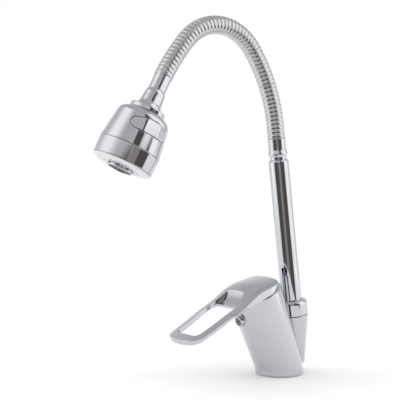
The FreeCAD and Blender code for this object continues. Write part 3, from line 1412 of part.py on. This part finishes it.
def make_button():
    middle = size.button_drop - size.button_rise / 2
    plate = prism("button_plate", button_outline(ZERO), size.seam_radius * 2)
    thick = size.button_thickness
    outer = shell_profile(size.button_stand_off, size.button_drop * 1.15)
    ring = revolved("button_ring", HEAD, [
        (outer[2][0] - size.button_stand_off - thick, outer[2][1]),
        (size.shell_shoulder_radius - thick, -size.shell_shoulder_drop),
        (outer[0][0] - size.button_stand_off - thick * 0.7, outer[0][1] - thick * 0.6)]
        + outer)
    vertex = size.shell_shoulder_radius + size.button_stand_off + (
        middle - size.shell_shoulder_drop) * 0.139
    angle = size.button_facet_angle
    corners = []
    for share in (-1.5, -0.5, 0.5, 1.5):
        corners.append((vertex * cosine(angle * share), vertex * sine(angle * share)))
    corners += [(ZERO, vertex * 0.95), (ZERO, -vertex * 0.95)]
    facets = document.addObject("PartDesign::Body", "button_facets")
    sketch = sketch_on(facets, "button_facets_outline", "XY_Plane")
    draw_outline(sketch, corners)
    pad = facets.newObject("PartDesign::Pad", "button_facets_pad")
    pad.Profile = (sketch, [""])
    pad.SideType = "Symmetric"
    bind(pad, "Length", size.button_rise * 3)
    taper = math.degrees(math.atan2(
        size.seam_radius.value - size.shell_shoulder_radius.value,
        size.seam_drop.value - size.shell_shoulder_drop.value))
    facets.Placement = CLOCKED_HEAD.placement().multiply(
        Placement(Vector(0, 0, -middle.value), Rotation(Vector(0, 1, 0), -taper)))
    face = shared("button_face", shared("button_curve", plate, ring), facets)
    lug_inner = size.button_pivot_radius - size.button_pin_radius * 1.5
    lug_outer = size.shell_shoulder_radius - 1.0
    lug = block("button_lug", lug_outer - lug_inner, 6.0, lug_top - lug_bottom,
                CLOCKED_HEAD, ((lug_outer + lug_inner) / 2, ZERO), lug_bottom)
    hole = cylinder("button_lug_hole", size.button_pin_radius + sliding_gap,
                    size.button_rise * 2, CLOCKED_HEAD,
                    (size.button_pivot_radius, 0, bracket_low))
    finished(minus("selector_button", fused("button_with_lug", face, lug), hole),
             "selector_button")
    flap_length = lug_inner - size.core_radius * 0.75
    stalk = cylinder("flap_stalk", flap_radius, flap_length, CLOCKED_HEAD,
                     (lug_inner, 0, flap_height), Vector(-1, 0, 0))
    tip = document.addObject("Part::Sphere", "flap_tip")
    bind(tip, "Radius", flap_radius * 1.15)
    place_inside(tip, CLOCKED_HEAD, (lug_inner - flap_length, 0, flap_height))
    finished(fused("diverter_flap", stalk, tip), "diverter_flap")
    finished(cylinder("button_pin", size.button_pin_radius, bracket_top - bracket_low,
                      CLOCKED_HEAD, (size.button_pivot_radius, 0, bracket_low)),
             "button_pin")


# ---------------------------------------------------------------------------------------
# Build, check and write
# ---------------------------------------------------------------------------------------
make_body_casting()
make_base_gasket()
make_index_plug()
make_cartridge()
make_handle()
make_spout()
make_gooseneck()
make_upper_ferrule()
make_ball_joint()
make_head_shells()
make_spray_plate()
make_aerator()
make_head_core()
make_button()
document.recompute()

for item in document.Objects:
    faults = [state for state in item.State if state in ("Invalid", "Error")]
    if faults:
        raise RuntimeError("%s did not recompute: %s" % (item.Name, faults))
os.makedirs("parts", exist_ok=True)
for item in sub_parts:
    if item.Shape.isNull() or not item.Shape.isValid() or not item.Shape.Solids:
        raise RuntimeError("%s has no valid solid" % item.Label)
    item.Shape.exportStep("parts/%s.step" % item.Label)
print("sub-parts written:", len(sub_parts))
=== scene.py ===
"""Looks of a single-lever kitchen faucet with a bendable ribbed gooseneck and a spray head.

The frame is the packed CAD model. Its nodes keep their places and get their finishes here, and
the gooseneck's sections are replaced by ribbed sleeves that run across its hinges.
"""
import json
import math

import bmesh
import bpy
from bpy.props import FloatProperty, FloatVectorProperty, IntProperty, PointerProperty
from mathutils import Matrix, Vector


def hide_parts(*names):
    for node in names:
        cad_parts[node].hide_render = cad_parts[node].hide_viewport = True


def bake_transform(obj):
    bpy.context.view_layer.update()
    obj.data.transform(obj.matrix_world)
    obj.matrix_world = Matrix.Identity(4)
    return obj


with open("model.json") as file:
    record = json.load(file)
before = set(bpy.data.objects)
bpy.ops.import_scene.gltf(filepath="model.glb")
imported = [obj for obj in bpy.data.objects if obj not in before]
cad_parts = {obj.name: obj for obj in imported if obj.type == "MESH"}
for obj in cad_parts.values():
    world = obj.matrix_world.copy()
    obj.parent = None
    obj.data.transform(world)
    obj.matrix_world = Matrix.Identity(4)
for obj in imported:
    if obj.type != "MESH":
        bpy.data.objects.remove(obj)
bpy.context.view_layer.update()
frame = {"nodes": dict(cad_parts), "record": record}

bl_info = {
    "name": "Gooseneck kitchen faucet",
    "version": (1, 0, 0),
    "blender": (4, 5, 0),
    "location": "View3D > Sidebar > Faucet",
    "description": "Dresses the packed faucet with its finishes, gooseneck sleeves and studio",
    "category": "Object",
}

MILLIMETRE = 0.001


def linear(code):
    """An sRGB hex value as linear red, green, blue and full alpha."""
    channels = [int(code[place:place + 2], 16) / 255 for place in (1, 3, 5)]
    return [c / 12.92 if c <= 0.04045 else ((c + 0.055) / 1.055) ** 2.4 for c in channels] + [1.0]


# ---------------------------------------------------------------------------------------
# Settings
# ---------------------------------------------------------------------------------------
def colour_setting(name, description, code):
    return FloatVectorProperty(name=name, description=description, subtype="COLOR", size=4,
                               min=0.0, max=1.0, default=linear(code))


def length_setting(name, description, default):
    return FloatProperty(name=name, description=description, unit="LENGTH", precision=5,
                         default=default)


class FaucetFinishes(bpy.types.PropertyGroup):
    """Colours of the faucet's finishes."""

    chrome_colour: colour_setting(
        "Chrome", "Polished chrome plate on castings and shells", "#c5c6cb")
    sleeve_colour: colour_setting(
        "Gooseneck chrome", "Chrome plate on the wound steel of the gooseneck", "#c0c0c3")
    plate_colour: colour_setting(
        "Spray plate", "Light grey moulded plate round the aerator", "#d3d4d6")
    rubber_colour: colour_setting(
        "Rubber", "Black nitrile rubber of seals and hoses", "#1d1d1e")
    polished_edge: length_setting("Polished edges", "Edges rounded by polishing", 0.0009)


class FaucetGooseneck(bpy.types.PropertyGroup):
    """Sizes of the gooseneck, from the tube's shoulder along its own route."""

    spout_setback: length_setting(
        "Spout setback", "Spout axis behind the base, at the deck", 0.0256)
    spout_lean: FloatProperty(name="Spout lean", description="Forward lean of the spout axis",
                              subtype="ANGLE", default=math.radians(7.3))
    tube_end: length_setting("Tube end", "Top shoulder of the spout tube, along its axis", 0.213)
    rise: length_setting("Rise", "Straight stretch above the tube", 0.0325)
    rise_radius: length_setting("Rise bend", "Radius of the first gentle bend", 0.150)
    rise_angle: FloatProperty(name="Rise angle", description="Turn of the first gentle bend",
                              subtype="ANGLE", default=math.radians(30.5))
    crown_radius: length_setting("Crown", "Radius of the arch's crown", 0.0505)
    crown_angle: FloatProperty(name="Crown angle", description="Turn of the arch's crown",
                               subtype="ANGLE", default=math.radians(99.5))
    fall_radius: length_setting("Fall bend", "Radius of the bend towards the head", 0.200)
    fall_angle: FloatProperty(name="Fall angle", description="Turn of the bend towards the head",
                              subtype="ANGLE", default=math.radians(13.7))
    ribs_start: length_setting("First rib", "Tube shoulder to the first rib", 0.021)
    linked_length: length_setting("Linked length", "Length of the stiff links together", 0.218)
    ribbed_length: length_setting("Ribbed length", "Ribbed part of the gooseneck", 0.2245)
    crest_radius: length_setting("Crest", "Crest of a rib", 0.00865)
    root_radius: length_setting("Root", "Root between two ribs", 0.00775)
    sections: IntProperty(name="Sections", description="Stiff links inside the gooseneck",
                          default=6)
    rib_count: IntProperty(name="Ribs", description="Ribs of the gooseneck", default=54)
    sleeve_radius: length_setting("Sleeve", "Plain sleeve that the last ribs lie on", 0.0082)
    bend_reach: length_setting("Bend reach", "Half of the length that bends at a hinge", 0.014)


class FaucetStage(bpy.types.PropertyGroup):
    """Camera, floor and lamps."""

    camera_place: FloatVectorProperty(name="Camera", description="Where the camera stands",
                                      subtype="TRANSLATION", unit="LENGTH",
                                      default=(0.6688, -0.6022, 0.195))
    camera_heading: FloatProperty(name="Heading", description="Camera's turn round the object",
                                  subtype="ANGLE", default=math.radians(53.0))
    camera_pitch: FloatProperty(name="Pitch", description="Camera's look below level",
                                subtype="ANGLE", default=math.radians(1.5))
    camera_lens: FloatProperty(name="Lens", description="Focal length in millimetres on 36 mm",
                               default=81.7)
    floor_colour: colour_setting("Floor", "Pale floor under the faucet", "#fafafa")
    card_colour: colour_setting("Cards", "Dark cards that chrome reflects", "#625b59")
    gap_colour: colour_setting("Card gap", "Paler strip between the two front cards", "#a39c97")
    sky_colour: colour_setting("Studio", "Pale studio round the faucet", "#ffffff")
    zenith_share: FloatProperty(name="Ceiling", description="Ceiling's brightness in the chrome",
                                default=0.62)
    horizon_share: FloatProperty(name="Walls", description="Walls' brightness in the chrome",
                                 default=0.92)


def settings(group):
    """The scene's settings of that group."""
    return getattr(bpy.context.scene, group)


# ---------------------------------------------------------------------------------------
# Materials
# ---------------------------------------------------------------------------------------
def add_node(tree, kind, inputs=None, **attributes):
    """A node with its attributes, and with each input set to a value or linked to a socket."""
    node = tree.nodes.new(kind)
    for name, value in attributes.items():
        setattr(node, name, value)
    for name, value in (inputs or {}).items():
        if isinstance(value, bpy.types.NodeSocket):
            tree.links.new(value, node.inputs[name])
        else:
            node.inputs[name].default_value = value
    return node


def tone(colour, factor):
    """A colour made that many times as bright."""
    return [min(1.0, channel * factor) for channel in colour[:3]] + [1.0]


def new_material(name):
    """An empty node material and its tree."""
    material = bpy.data.materials.new(name)
    material.use_nodes = True
    material.node_tree.nodes.clear()
    return material, material.node_tree


BUMP_STRENGTH = 0.35
EDGE_SAMPLES = 6


def surface(name, colour, grain, roughness, depth, spread=0.04, detail=4.0, edge=0.0,
            **shader):
    """A finish whose tone, gloss and relief follow a grain of that size, in millimetres."""
    material, tree = new_material(name)
    place = add_node(tree, "ShaderNodeTexCoord")
    noise = add_node(tree, "ShaderNodeTexNoise", {
        "Vector": place.outputs["Object"], "Scale": 1 / (grain * MILLIMETRE), "Detail": detail})
    tint = add_node(tree, "ShaderNodeMixRGB", {
        "Fac": noise.outputs["Fac"], "Color1": tone(colour, 1 - spread),
        "Color2": tone(colour, 1 + spread)})
    gloss = add_node(tree, "ShaderNodeMapRange", {
        "Value": noise.outputs["Fac"], "To Min": roughness[0], "To Max": roughness[1]})
    relief = add_node(tree, "ShaderNodeBump", {
        "Height": noise.outputs["Fac"], "Strength": BUMP_STRENGTH,
        "Distance": depth * MILLIMETRE})
    if edge:
        eased = add_node(tree, "ShaderNodeBevel", {"Radius": edge}, samples=EDGE_SAMPLES)
        tree.links.new(eased.outputs["Normal"], relief.inputs["Normal"])
    shaded = add_node(tree, "ShaderNodeBsdfPrincipled", {
        "Base Color": tint.outputs["Color"], "Roughness": gloss.outputs["Result"],
        "Normal": relief.outputs["Normal"], **shader})
    add_node(tree, "ShaderNodeOutputMaterial", {"Surface": shaded.outputs["BSDF"]})
    return material


def make_materials():
    """Every finish by the name of its slot in the record, and the mesh of the aerator."""
    colours = settings("faucet_finishes")
    return {
        # Bright chrome plate over a polished casting: a mirror with a faint polishing wave
        "chrome": surface("polished_chrome_plate", colours.chrome_colour, 14.0, (0.035, 0.075),
                          0.012, 0.015, edge=colours.polished_edge, Metallic=1.0),
        # The same plate over wound steel strip, a little hazier between the ribs
        "gooseneck_chrome": surface("chromed_wound_steel", colours.sleeve_colour, 3.0,
                                    (0.16, 0.26), 0.01, 0.03, Metallic=1.0),
        # Machined brass: warm yellow with fine tool marks
        "brass": surface("machined_brass", linear("#c9a45c"), 0.8, (0.22, 0.34), 0.01,
                         0.06, Metallic=1.0),
        # Moulded nitrile rubber: matt black with a dusty bloom
        "rubber": surface("moulded_nitrile_rubber", colours.rubber_colour, 0.6, (0.55, 0.75),
                          0.02, 0.25, IOR=1.52),
        # Braided EPDM water hose: matt dark grey
        "hose_rubber": surface("epdm_water_hose", linear("#2b2b2d"), 0.8, (0.5, 0.7),
                               0.03, 0.2, IOR=1.50),
        # Small index plug, moulded ABS sunk in its boss: dark grey and glossy
        "index_plastic": surface("gloss_abs_plug", linear("#5a5b60"), 1.2, (0.18, 0.3),
                                 0.01, 0.1, IOR=1.54),
        # Glass-filled nylon of the cartridge: satin off-white
        "cartridge_plastic": surface("glass_filled_nylon", linear("#d9d6cd"), 0.7, (0.35, 0.5),
                                     0.02, 0.05, IOR=1.53),
        # Sintered and lapped alumina discs: dense, smooth and almost white
        "ceramic": surface("lapped_alumina", linear("#eeebe4"), 0.5, (0.08, 0.18),
                           0.004, 0.02, IOR=1.77),
        # Stainless steel pins and screws: grey with turning marks
        "steel": surface("turned_stainless_steel", linear("#b3b4b6"), 0.5, (0.2, 0.35),
                         0.008, 0.06, Metallic=1.0),
        # Acetal washers and carriers: waxy white
        "white_plastic": surface("moulded_acetal", linear("#ececea"), 1.0, (0.3, 0.42),
                                 0.01, 0.03, IOR=1.48),
        # Spray plate, fine-etched ABS: light grey with a satin sheen
        "grey_plastic": surface("satin_abs_plate", colours.plate_colour, 0.5, (0.28, 0.4),
                                0.012, 0.03, IOR=1.54),
        # Fine woven steel mesh of the aerator: its own grey darkened with painted shade for the
        # openings where the water runs through
        "mesh": surface("aerator_mesh_painted_shade", linear("#4b4b4d"), 0.35, (0.3, 0.5), 0.08, 0.5,
                        Metallic=1.0),
        # Water core of the head: plain moulded ABS
        "core_plastic": surface("moulded_abs_core", linear("#8b8d90"), 0.8, (0.35, 0.5),
                                0.015, 0.05, IOR=1.54),
    }


MATERIALS = {}


def node_slots():
    """The record's material slot of each CAD node."""
    return {part["node"]: part["material_slot"] for part in frame["record"]["subparts"]}


def finish_nodes(nodes):
    slots = node_slots()
    for name in nodes:
        mesh_materials = frame["nodes"][name].data.materials
        mesh_materials.clear()
        mesh_materials.append(MATERIALS[slots[name]])


# ---------------------------------------------------------------------------------------
# Gooseneck
# ---------------------------------------------------------------------------------------
class Route:
    """The gooseneck's centre line: straight, three arcs, straight, all in the plane x = 0."""

    def __init__(self, sizes):
        lean = sizes.spout_lean
        self.pieces = [(sizes.rise, 0.0), (sizes.rise_radius, sizes.rise_angle),
                       (sizes.crown_radius, sizes.crown_angle),
                       (sizes.fall_radius, sizes.fall_angle), (1.0, 0.0)]
        self.start = (sizes.spout_setback - sizes.tube_end * math.sin(lean),
                      sizes.tube_end * math.cos(lean), lean)

    def at(self, distance):
        """Point and heading at that distance from the tube's shoulder."""
        back, up, heading = self.start
        for size, angle in self.pieces:
            length = size * angle if angle else size
            run = min(distance, length)
            if angle:
                after = heading + run / size
                back += size * (math.cos(after) - math.cos(heading))
                up += size * (math.sin(after) - math.sin(heading))
                heading = after
            else:
                back -= run * math.sin(heading)
                up += run * math.cos(heading)
            distance -= run
            if distance <= 0:
                break
        return Vector((0, back, up)), heading


RING_POINTS = 72
STEPS_PER_RIB = 10
RIB_SQUARENESS = 5


def rib_height(share):
    """Relief of a rib over its pitch: a quick rise, a rounded crest and a narrow root."""
    return 1 - abs(2 * share - 1) ** RIB_SQUARENESS


def ribbed_sleeve(name, route, sizes, first_rib, last_rib):
    """A stretch of the gooseneck from one rib's root to another's."""
    pitch = sizes.ribbed_length / sizes.rib_count
    mesh = bmesh.new()
    rings = []
    for step in range((last_rib - first_rib) * STEPS_PER_RIB + 1):
        share = step / STEPS_PER_RIB
        along = (first_rib + share) * pitch
        centre, heading = route.at(sizes.ribs_start + along)
        root = sizes.root_radius if along < sizes.linked_length - pitch else sizes.sleeve_radius
        radius = root + (sizes.crest_radius - root) * rib_height(share % 1)
        turn = Matrix.Rotation(heading, 4, "X")
        rings.append([mesh.verts.new(centre + turn @ Vector((
            radius * math.cos(2 * math.pi * point / RING_POINTS),
            radius * math.sin(2 * math.pi * point / RING_POINTS), 0)))
            for point in range(RING_POINTS)])
    for low, high in zip(rings[:-1], rings[1:]):
        for point in range(RING_POINTS):
            beyond = (point + 1) % RING_POINTS
            face = mesh.faces.new((low[point], low[beyond], high[beyond], high[point]))
            face.smooth = True
    made = bpy.data.meshes.new(name)
    mesh.to_mesh(made)
    mesh.free()
    sleeve = bpy.data.objects.new(name, made)
    bpy.context.scene.collection.objects.link(sleeve)
    return sleeve


class FAUCET_OT_gooseneck(bpy.types.Operator):
    """Ribbed sleeves from mid section to mid section, each spanning one hinge"""
    bl_idname = "faucet.gooseneck"
    bl_label = "Gooseneck sleeves"

    def execute(self, context):
        sizes = context.scene.faucet_gooseneck
        route = Route(sizes)
        section_length = sizes.linked_length / sizes.sections
        ribs_per_section = sizes.rib_count * section_length / sizes.ribbed_length
        for hinge in range(1, sizes.sections):
            first = 0 if hinge == 1 else round((hinge - 0.5) * ribs_per_section)
            last = round((hinge + 0.5) * ribs_per_section)
            nodes = ["gooseneck_section_%d" % hinge]
            if hinge == sizes.sections - 1:
                last = sizes.rib_count
                nodes.append("gooseneck_section_%d" % sizes.sections)
            sleeve = ribbed_sleeve("gooseneck_sleeve_%d" % hinge, route, sizes, first, last)
            sleeve.data.materials.append(MATERIALS["gooseneck_chrome"])
            middle = sizes.ribs_start + hinge * section_length
            route.at(middle - sizes.bend_reach)[0]
            route.at(middle + sizes.bend_reach)[0]
            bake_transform(sleeve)
            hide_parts(*nodes)
        finish_nodes(["inner_hose_%d" % number for number in range(1, sizes.sections + 1)])
        return {"FINISHED"}


# ---------------------------------------------------------------------------------------
# Finishes of the CAD nodes
# ---------------------------------------------------------------------------------------
class FAUCET_OT_body(bpy.types.Operator):
    """Body casting with its gasket and index plug"""
    bl_idname = "faucet.body"
    bl_label = "Body"

    def execute(self, context):
        finish_nodes(["body_casting", "base_gasket", "index_plug"])
        return {"FINISHED"}


class FAUCET_OT_handle(bpy.types.Operator):
    """Loop handle, its set screw and the chrome ring under it"""
    bl_idname = "faucet.handle"
    bl_label = "Handle"

    def execute(self, context):
        finish_nodes(["handle", "handle_set_screw", "dome_ring"])
        return {"FINISHED"}


class FAUCET_OT_cartridge(bpy.types.Operator):
    """The cartridge with its discs, stem and clamping nut"""
    bl_idname = "faucet.cartridge"
    bl_label = "Cartridge"

    def execute(self, context):
        finish_nodes(["cartridge_base", "port_seals", "cartridge_shell", "fixed_disc",
                      "moving_disc", "disc_carrier", "cartridge_rotor", "stem_pin",
                      "lever_stem", "cartridge_nut"])
        return {"FINISHED"}


class FAUCET_OT_spout(bpy.types.Operator):
    """Upright tube, its swivel and collar, and the two ferrules"""
    bl_idname = "faucet.spout"
    bl_label = "Spout"

    def execute(self, context):
        finish_nodes(["spout_collar", "slip_washer", "spout_spigot", "spout_sealing_rings",
                      "spout_tube", "lower_ferrule", "upper_ferrule"])
        return {"FINISHED"}


class FAUCET_OT_spray_head(bpy.types.Operator):
    """Ball joint, shells, button, spray plate and aerator"""
    bl_idname = "faucet.spray_head"
    bl_label = "Spray head"

    def execute(self, context):
        finish_nodes(["swivel_ball", "ball_nut", "ball_washer", "head_core", "head_upper_shell",
                      "head_skirt", "spray_plate", "spray_plate_seal", "aerator_housing",
                      "aerator_insert", "aerator_seal", "button_pin", "selector_button",
                      "diverter_flap"])
        # The aerator insert takes the mesh finish, whose dark grey is partly painted shade of the
        # mesh's openings
        mesh_materials = frame["nodes"]["aerator_insert"].data.materials
        mesh_materials[0] = MATERIALS["mesh"]
        return {"FINISHED"}


# ---------------------------------------------------------------------------------------
# Stage
# ---------------------------------------------------------------------------------------
# Half width of the floor, and the distances from its middle where its shading starts to fade
# and where it is plain white
FLOOR_HALF = 6.0
FLOOR_SHADED = 0.16
FLOOR_WHITE = 0.50
FLOOR_MOTTLES_PER_METRE = 1.5

CARD_COLUMNS = 48
CARD_ROWS = 12
# Share of a card's height over which its top fades
CARD_TOP_FADE = 0.25
# Name, colour setting, distance, bearings from the camera's in degrees, heights, share of the
# width over which each side fades, and brightness
CARDS = (
    ("card_left", "card_colour", 0.34, (-62, -8), (0.0, 0.30), 0.16, 1.0),
    ("card_right", "card_colour", 0.34, (8, 62), (0.0, 0.30), 0.16, 1.0),
    ("card_between", "gap_colour", 0.35, (-30, 30), (0.0, 0.30), 0.16, 1.0),
    ("card_tall", "card_colour", 0.74, (8, 34), (0.2, 1.1), 0.16, 1.0),
    ("screen_left", "sky_colour", 1.3, (-125, -25), (0.0, 2.4), 0.42, 1.4),
    ("screen_right", "sky_colour", 1.3, (36, 118), (0.0, 2.4), 0.25, 1.45),
)

# Name and bearing from the camera's in degrees
LAMPS = (("left_lamp", -90), ("right_lamp", 90))
LAMP_DISTANCE = 1.2
LAMP_HEIGHT = 0.55
LAMP_WIDTH = 0.5
LAMP_LENGTH = 1.0
LAMP_WATTS = 3.4
LAMP_AIM_HEIGHT = 0.17


def stage_object(name, corners, faces):
    """A mesh of the stage, which isn't part of the faucet."""
    made = bpy.data.meshes.new(name)
    made.from_pydata(corners, [], faces)
    item = bpy.data.objects.new(name, made)
    bpy.context.scene.collection.objects.link(item)
    return item


def make_floor(colour):
    """Painted floor: it shows the faucet's shadow, and runs out into the white background."""
    floor = stage_object("floor", [
        (-FLOOR_HALF, -FLOOR_HALF, 0), (FLOOR_HALF, -FLOOR_HALF, 0),
        (FLOOR_HALF, FLOOR_HALF, 0), (-FLOOR_HALF, FLOOR_HALF, 0)], [(0, 1, 2, 3)])
    material, tree = new_material("painted_floor")
    place = add_node(tree, "ShaderNodeTexCoord")
    noise = add_node(tree, "ShaderNodeTexNoise", {
        "Vector": place.outputs["Object"], "Scale": FLOOR_MOTTLES_PER_METRE,
        "Detail": 2.0})
    gloss = add_node(tree, "ShaderNodeMapRange", {
        "Value": noise.outputs["Fac"], "To Min": 0.7, "To Max": 0.8})
    paint = add_node(tree, "ShaderNodeBsdfPrincipled", {
        "Base Color": colour, "Roughness": gloss.outputs["Result"],
        "Specular IOR Level": 0.2})
    distance = add_node(tree, "ShaderNodeVectorMath", {0: place.outputs["Object"]},
                        operation="LENGTH")
    white_share = add_node(tree, "ShaderNodeMapRange", {
        "Value": distance.outputs["Value"], "From Min": FLOOR_SHADED, "From Max": FLOOR_WHITE},
        interpolation_type="SMOOTHSTEP")
    ray = add_node(tree, "ShaderNodeLightPath")
    share = add_node(tree, "ShaderNodeMath", {
        0: white_share.outputs["Result"], 1: ray.outputs["Is Camera Ray"]}, operation="MULTIPLY")
    white = add_node(tree, "ShaderNodeEmission", {"Color": linear("#ffffff"), "Strength": 1.0})
    seen = add_node(tree, "ShaderNodeMixShader", {
        "Fac": share.outputs["Value"], 1: paint.outputs["BSDF"], 2: white.outputs["Emission"]})
    add_node(tree, "ShaderNodeOutputMaterial", {"Surface": seen.outputs["Shader"]})
    floor.data.materials.append(material)


def make_card(name, colour, radius, bearings, heights, side_fade, brightness):
    """A bowed upright card or screen round the faucet, soft-edged, seen only in the chrome."""
    corners, shares, faces = [], [], []
    for row in range(CARD_ROWS + 1):
        up = row / CARD_ROWS
        for column in range(CARD_COLUMNS + 1):
            across = column / CARD_COLUMNS
            bearing = bearings[0] + (bearings[1] - bearings[0]) * across
            corners.append((radius * math.sin(bearing), -radius * math.cos(bearing),
                            heights[0] + (heights[1] - heights[0]) * up))
            margin = min(across / side_fade, (1 - across) / side_fade,
                         (1 - up) / CARD_TOP_FADE, 1.0)
            shares.append(margin * margin * (3 - 2 * margin))
    for row in range(CARD_ROWS):
        for column in range(CARD_COLUMNS):
            first = row * (CARD_COLUMNS + 1) + column
            faces.append((first, first + 1, first + CARD_COLUMNS + 2, first + CARD_COLUMNS + 1))
    card = stage_object(name, corners, faces)
    card.visible_camera = False
    card.visible_diffuse = False
    card.visible_shadow = False
    layer = card.data.color_attributes.new("cover", "FLOAT_COLOR", "POINT")
    for entry, share in zip(layer.data, shares):
        entry.color = (share, share, share, 1.0)
    material, tree = new_material(name + "_felt")
    cover = add_node(tree, "ShaderNodeAttribute", attribute_name="cover")
    felt = add_node(tree, "ShaderNodeEmission", {"Color": colour, "Strength": brightness})
    clear = add_node(tree, "ShaderNodeBsdfTransparent")
    seen = add_node(tree, "ShaderNodeMixShader", {
        "Fac": cover.outputs["Fac"], 1: clear.outputs["BSDF"], 2: felt.outputs["Emission"]})
    add_node(tree, "ShaderNodeOutputMaterial", {"Surface": seen.outputs["Shader"]})
    card.data.materials.append(material)


def make_world(stage):
    """White for the camera and as light, and a soft studio gradient for the chrome."""
    world = bpy.data.worlds.new("studio")
    world.use_nodes = True
    tree = world.node_tree
    tree.nodes.clear()
    place = add_node(tree, "ShaderNodeTexCoord")
    parts = add_node(tree, "ShaderNodeSeparateXYZ", {"Vector": place.outputs["Generated"]})
    height = add_node(tree, "ShaderNodeMapRange", {
        "Value": parts.outputs["Z"], "From Min": 0.0, "From Max": 0.8,
        "To Min": stage.horizon_share, "To Max": stage.zenith_share},
        interpolation_type="SMOOTHSTEP")
    ray = add_node(tree, "ShaderNodeLightPath")
    seen = add_node(tree, "ShaderNodeMix", {
        "Factor": ray.outputs["Is Glossy Ray"], "A": 1.0, "B": height.outputs["Result"]})
    studio = add_node(tree, "ShaderNodeBackground", {
        "Color": stage.sky_colour, "Strength": seen.outputs[0]})
    add_node(tree, "ShaderNodeOutputWorld", {"Surface": studio.outputs["Background"]})
    bpy.context.scene.world = world


def make_lamp(name, bearing):
    """A soft upright lamp beside the faucet, which chrome doesn't show."""
    data = bpy.data.lights.new(name, "AREA")
    data.shape = "RECTANGLE"
    data.size, data.size_y = LAMP_WIDTH, LAMP_LENGTH
    data.energy = LAMP_WATTS
    lamp = bpy.data.objects.new(name, data)
    lamp.visible_glossy = False
    place = Matrix.Rotation(bearing, 3, "Z") @ Vector((0, -LAMP_DISTANCE, LAMP_HEIGHT))
    aim = Vector((0, 0, LAMP_AIM_HEIGHT)) - place
    lamp.location = place
    lamp.rotation_mode = "QUATERNION"
    lamp.rotation_quaternion = aim.to_track_quat("-Z", "Y")
    bpy.context.scene.collection.objects.link(lamp)


class FAUCET_OT_stage(bpy.types.Operator):
    """Camera, pale floor, soft lamps, and the cards and screens that chrome reflects"""
    bl_idname = "faucet.stage"
    bl_label = "Stage"

    def execute(self, context):
        stage = context.scene.faucet_stage
        data = bpy.data.cameras.new("camera")
        data.lens = stage.camera_lens
        data.sensor_width = 36.0
        data.clip_start = 0.01
        camera = bpy.data.objects.new("camera", data)
        camera.location = stage.camera_place
        camera.rotation_euler = (math.radians(90) - stage.camera_pitch, 0, stage.camera_heading)
        context.scene.collection.objects.link(camera)
        context.scene.camera = camera
        context.scene.view_settings.view_transform = "Standard"
        make_world(stage)
        make_floor(stage.floor_colour)
        heading = stage.camera_heading
        for name, colour, radius, bearings, *shape in CARDS:
            turned = [heading + math.radians(bearing) for bearing in bearings]
            make_card(name, getattr(stage, colour), radius, turned, *shape)
        for name, bearing in LAMPS:
            make_lamp(name, heading + math.radians(bearing))
        return {"FINISHED"}


class FAUCET_PT_panel(bpy.types.Panel):
    """Lists the faucet's pieces and its settings"""
    bl_idname = "FAUCET_PT_panel"
    bl_label = "Faucet"
    bl_space_type = "VIEW_3D"
    bl_region_type = "UI"
    bl_category = "Faucet"

    def draw(self, context):
        for operator in OPERATORS:
            self.layout.operator(operator.bl_idname)
        for group in SETTINGS:
            values = getattr(context.scene, group)
            box = self.layout.box()
            box.label(text=SETTINGS[group].__doc__)
            for name in SETTINGS[group].__annotations__:
                box.prop(values, name)


OPERATORS = (FAUCET_OT_body, FAUCET_OT_handle, FAUCET_OT_cartridge, FAUCET_OT_spout,
             FAUCET_OT_gooseneck, FAUCET_OT_spray_head, FAUCET_OT_stage)
SETTINGS = {"faucet_finishes": FaucetFinishes, "faucet_gooseneck": FaucetGooseneck,
            "faucet_stage": FaucetStage}


def register():
    for name, group in SETTINGS.items():
        bpy.utils.register_class(group)
        setattr(bpy.types.Scene, name, PointerProperty(type=group))
    for operator in OPERATORS:
        bpy.utils.register_class(operator)
    bpy.utils.register_class(FAUCET_PT_panel)


def unregister():
    bpy.utils.unregister_class(FAUCET_PT_panel)
    for operator in reversed(OPERATORS):
        bpy.utils.unregister_class(operator)
    for name, group in SETTINGS.items():
        delattr(bpy.types.Scene, name)
        bpy.utils.unregister_class(group)


def main():
    register()
    MATERIALS.update(make_materials())
    for operator in OPERATORS:
        group, action = operator.bl_idname.split(".")
        getattr(getattr(bpy.ops, group), action)()


if __name__ == "__main__":
    main()
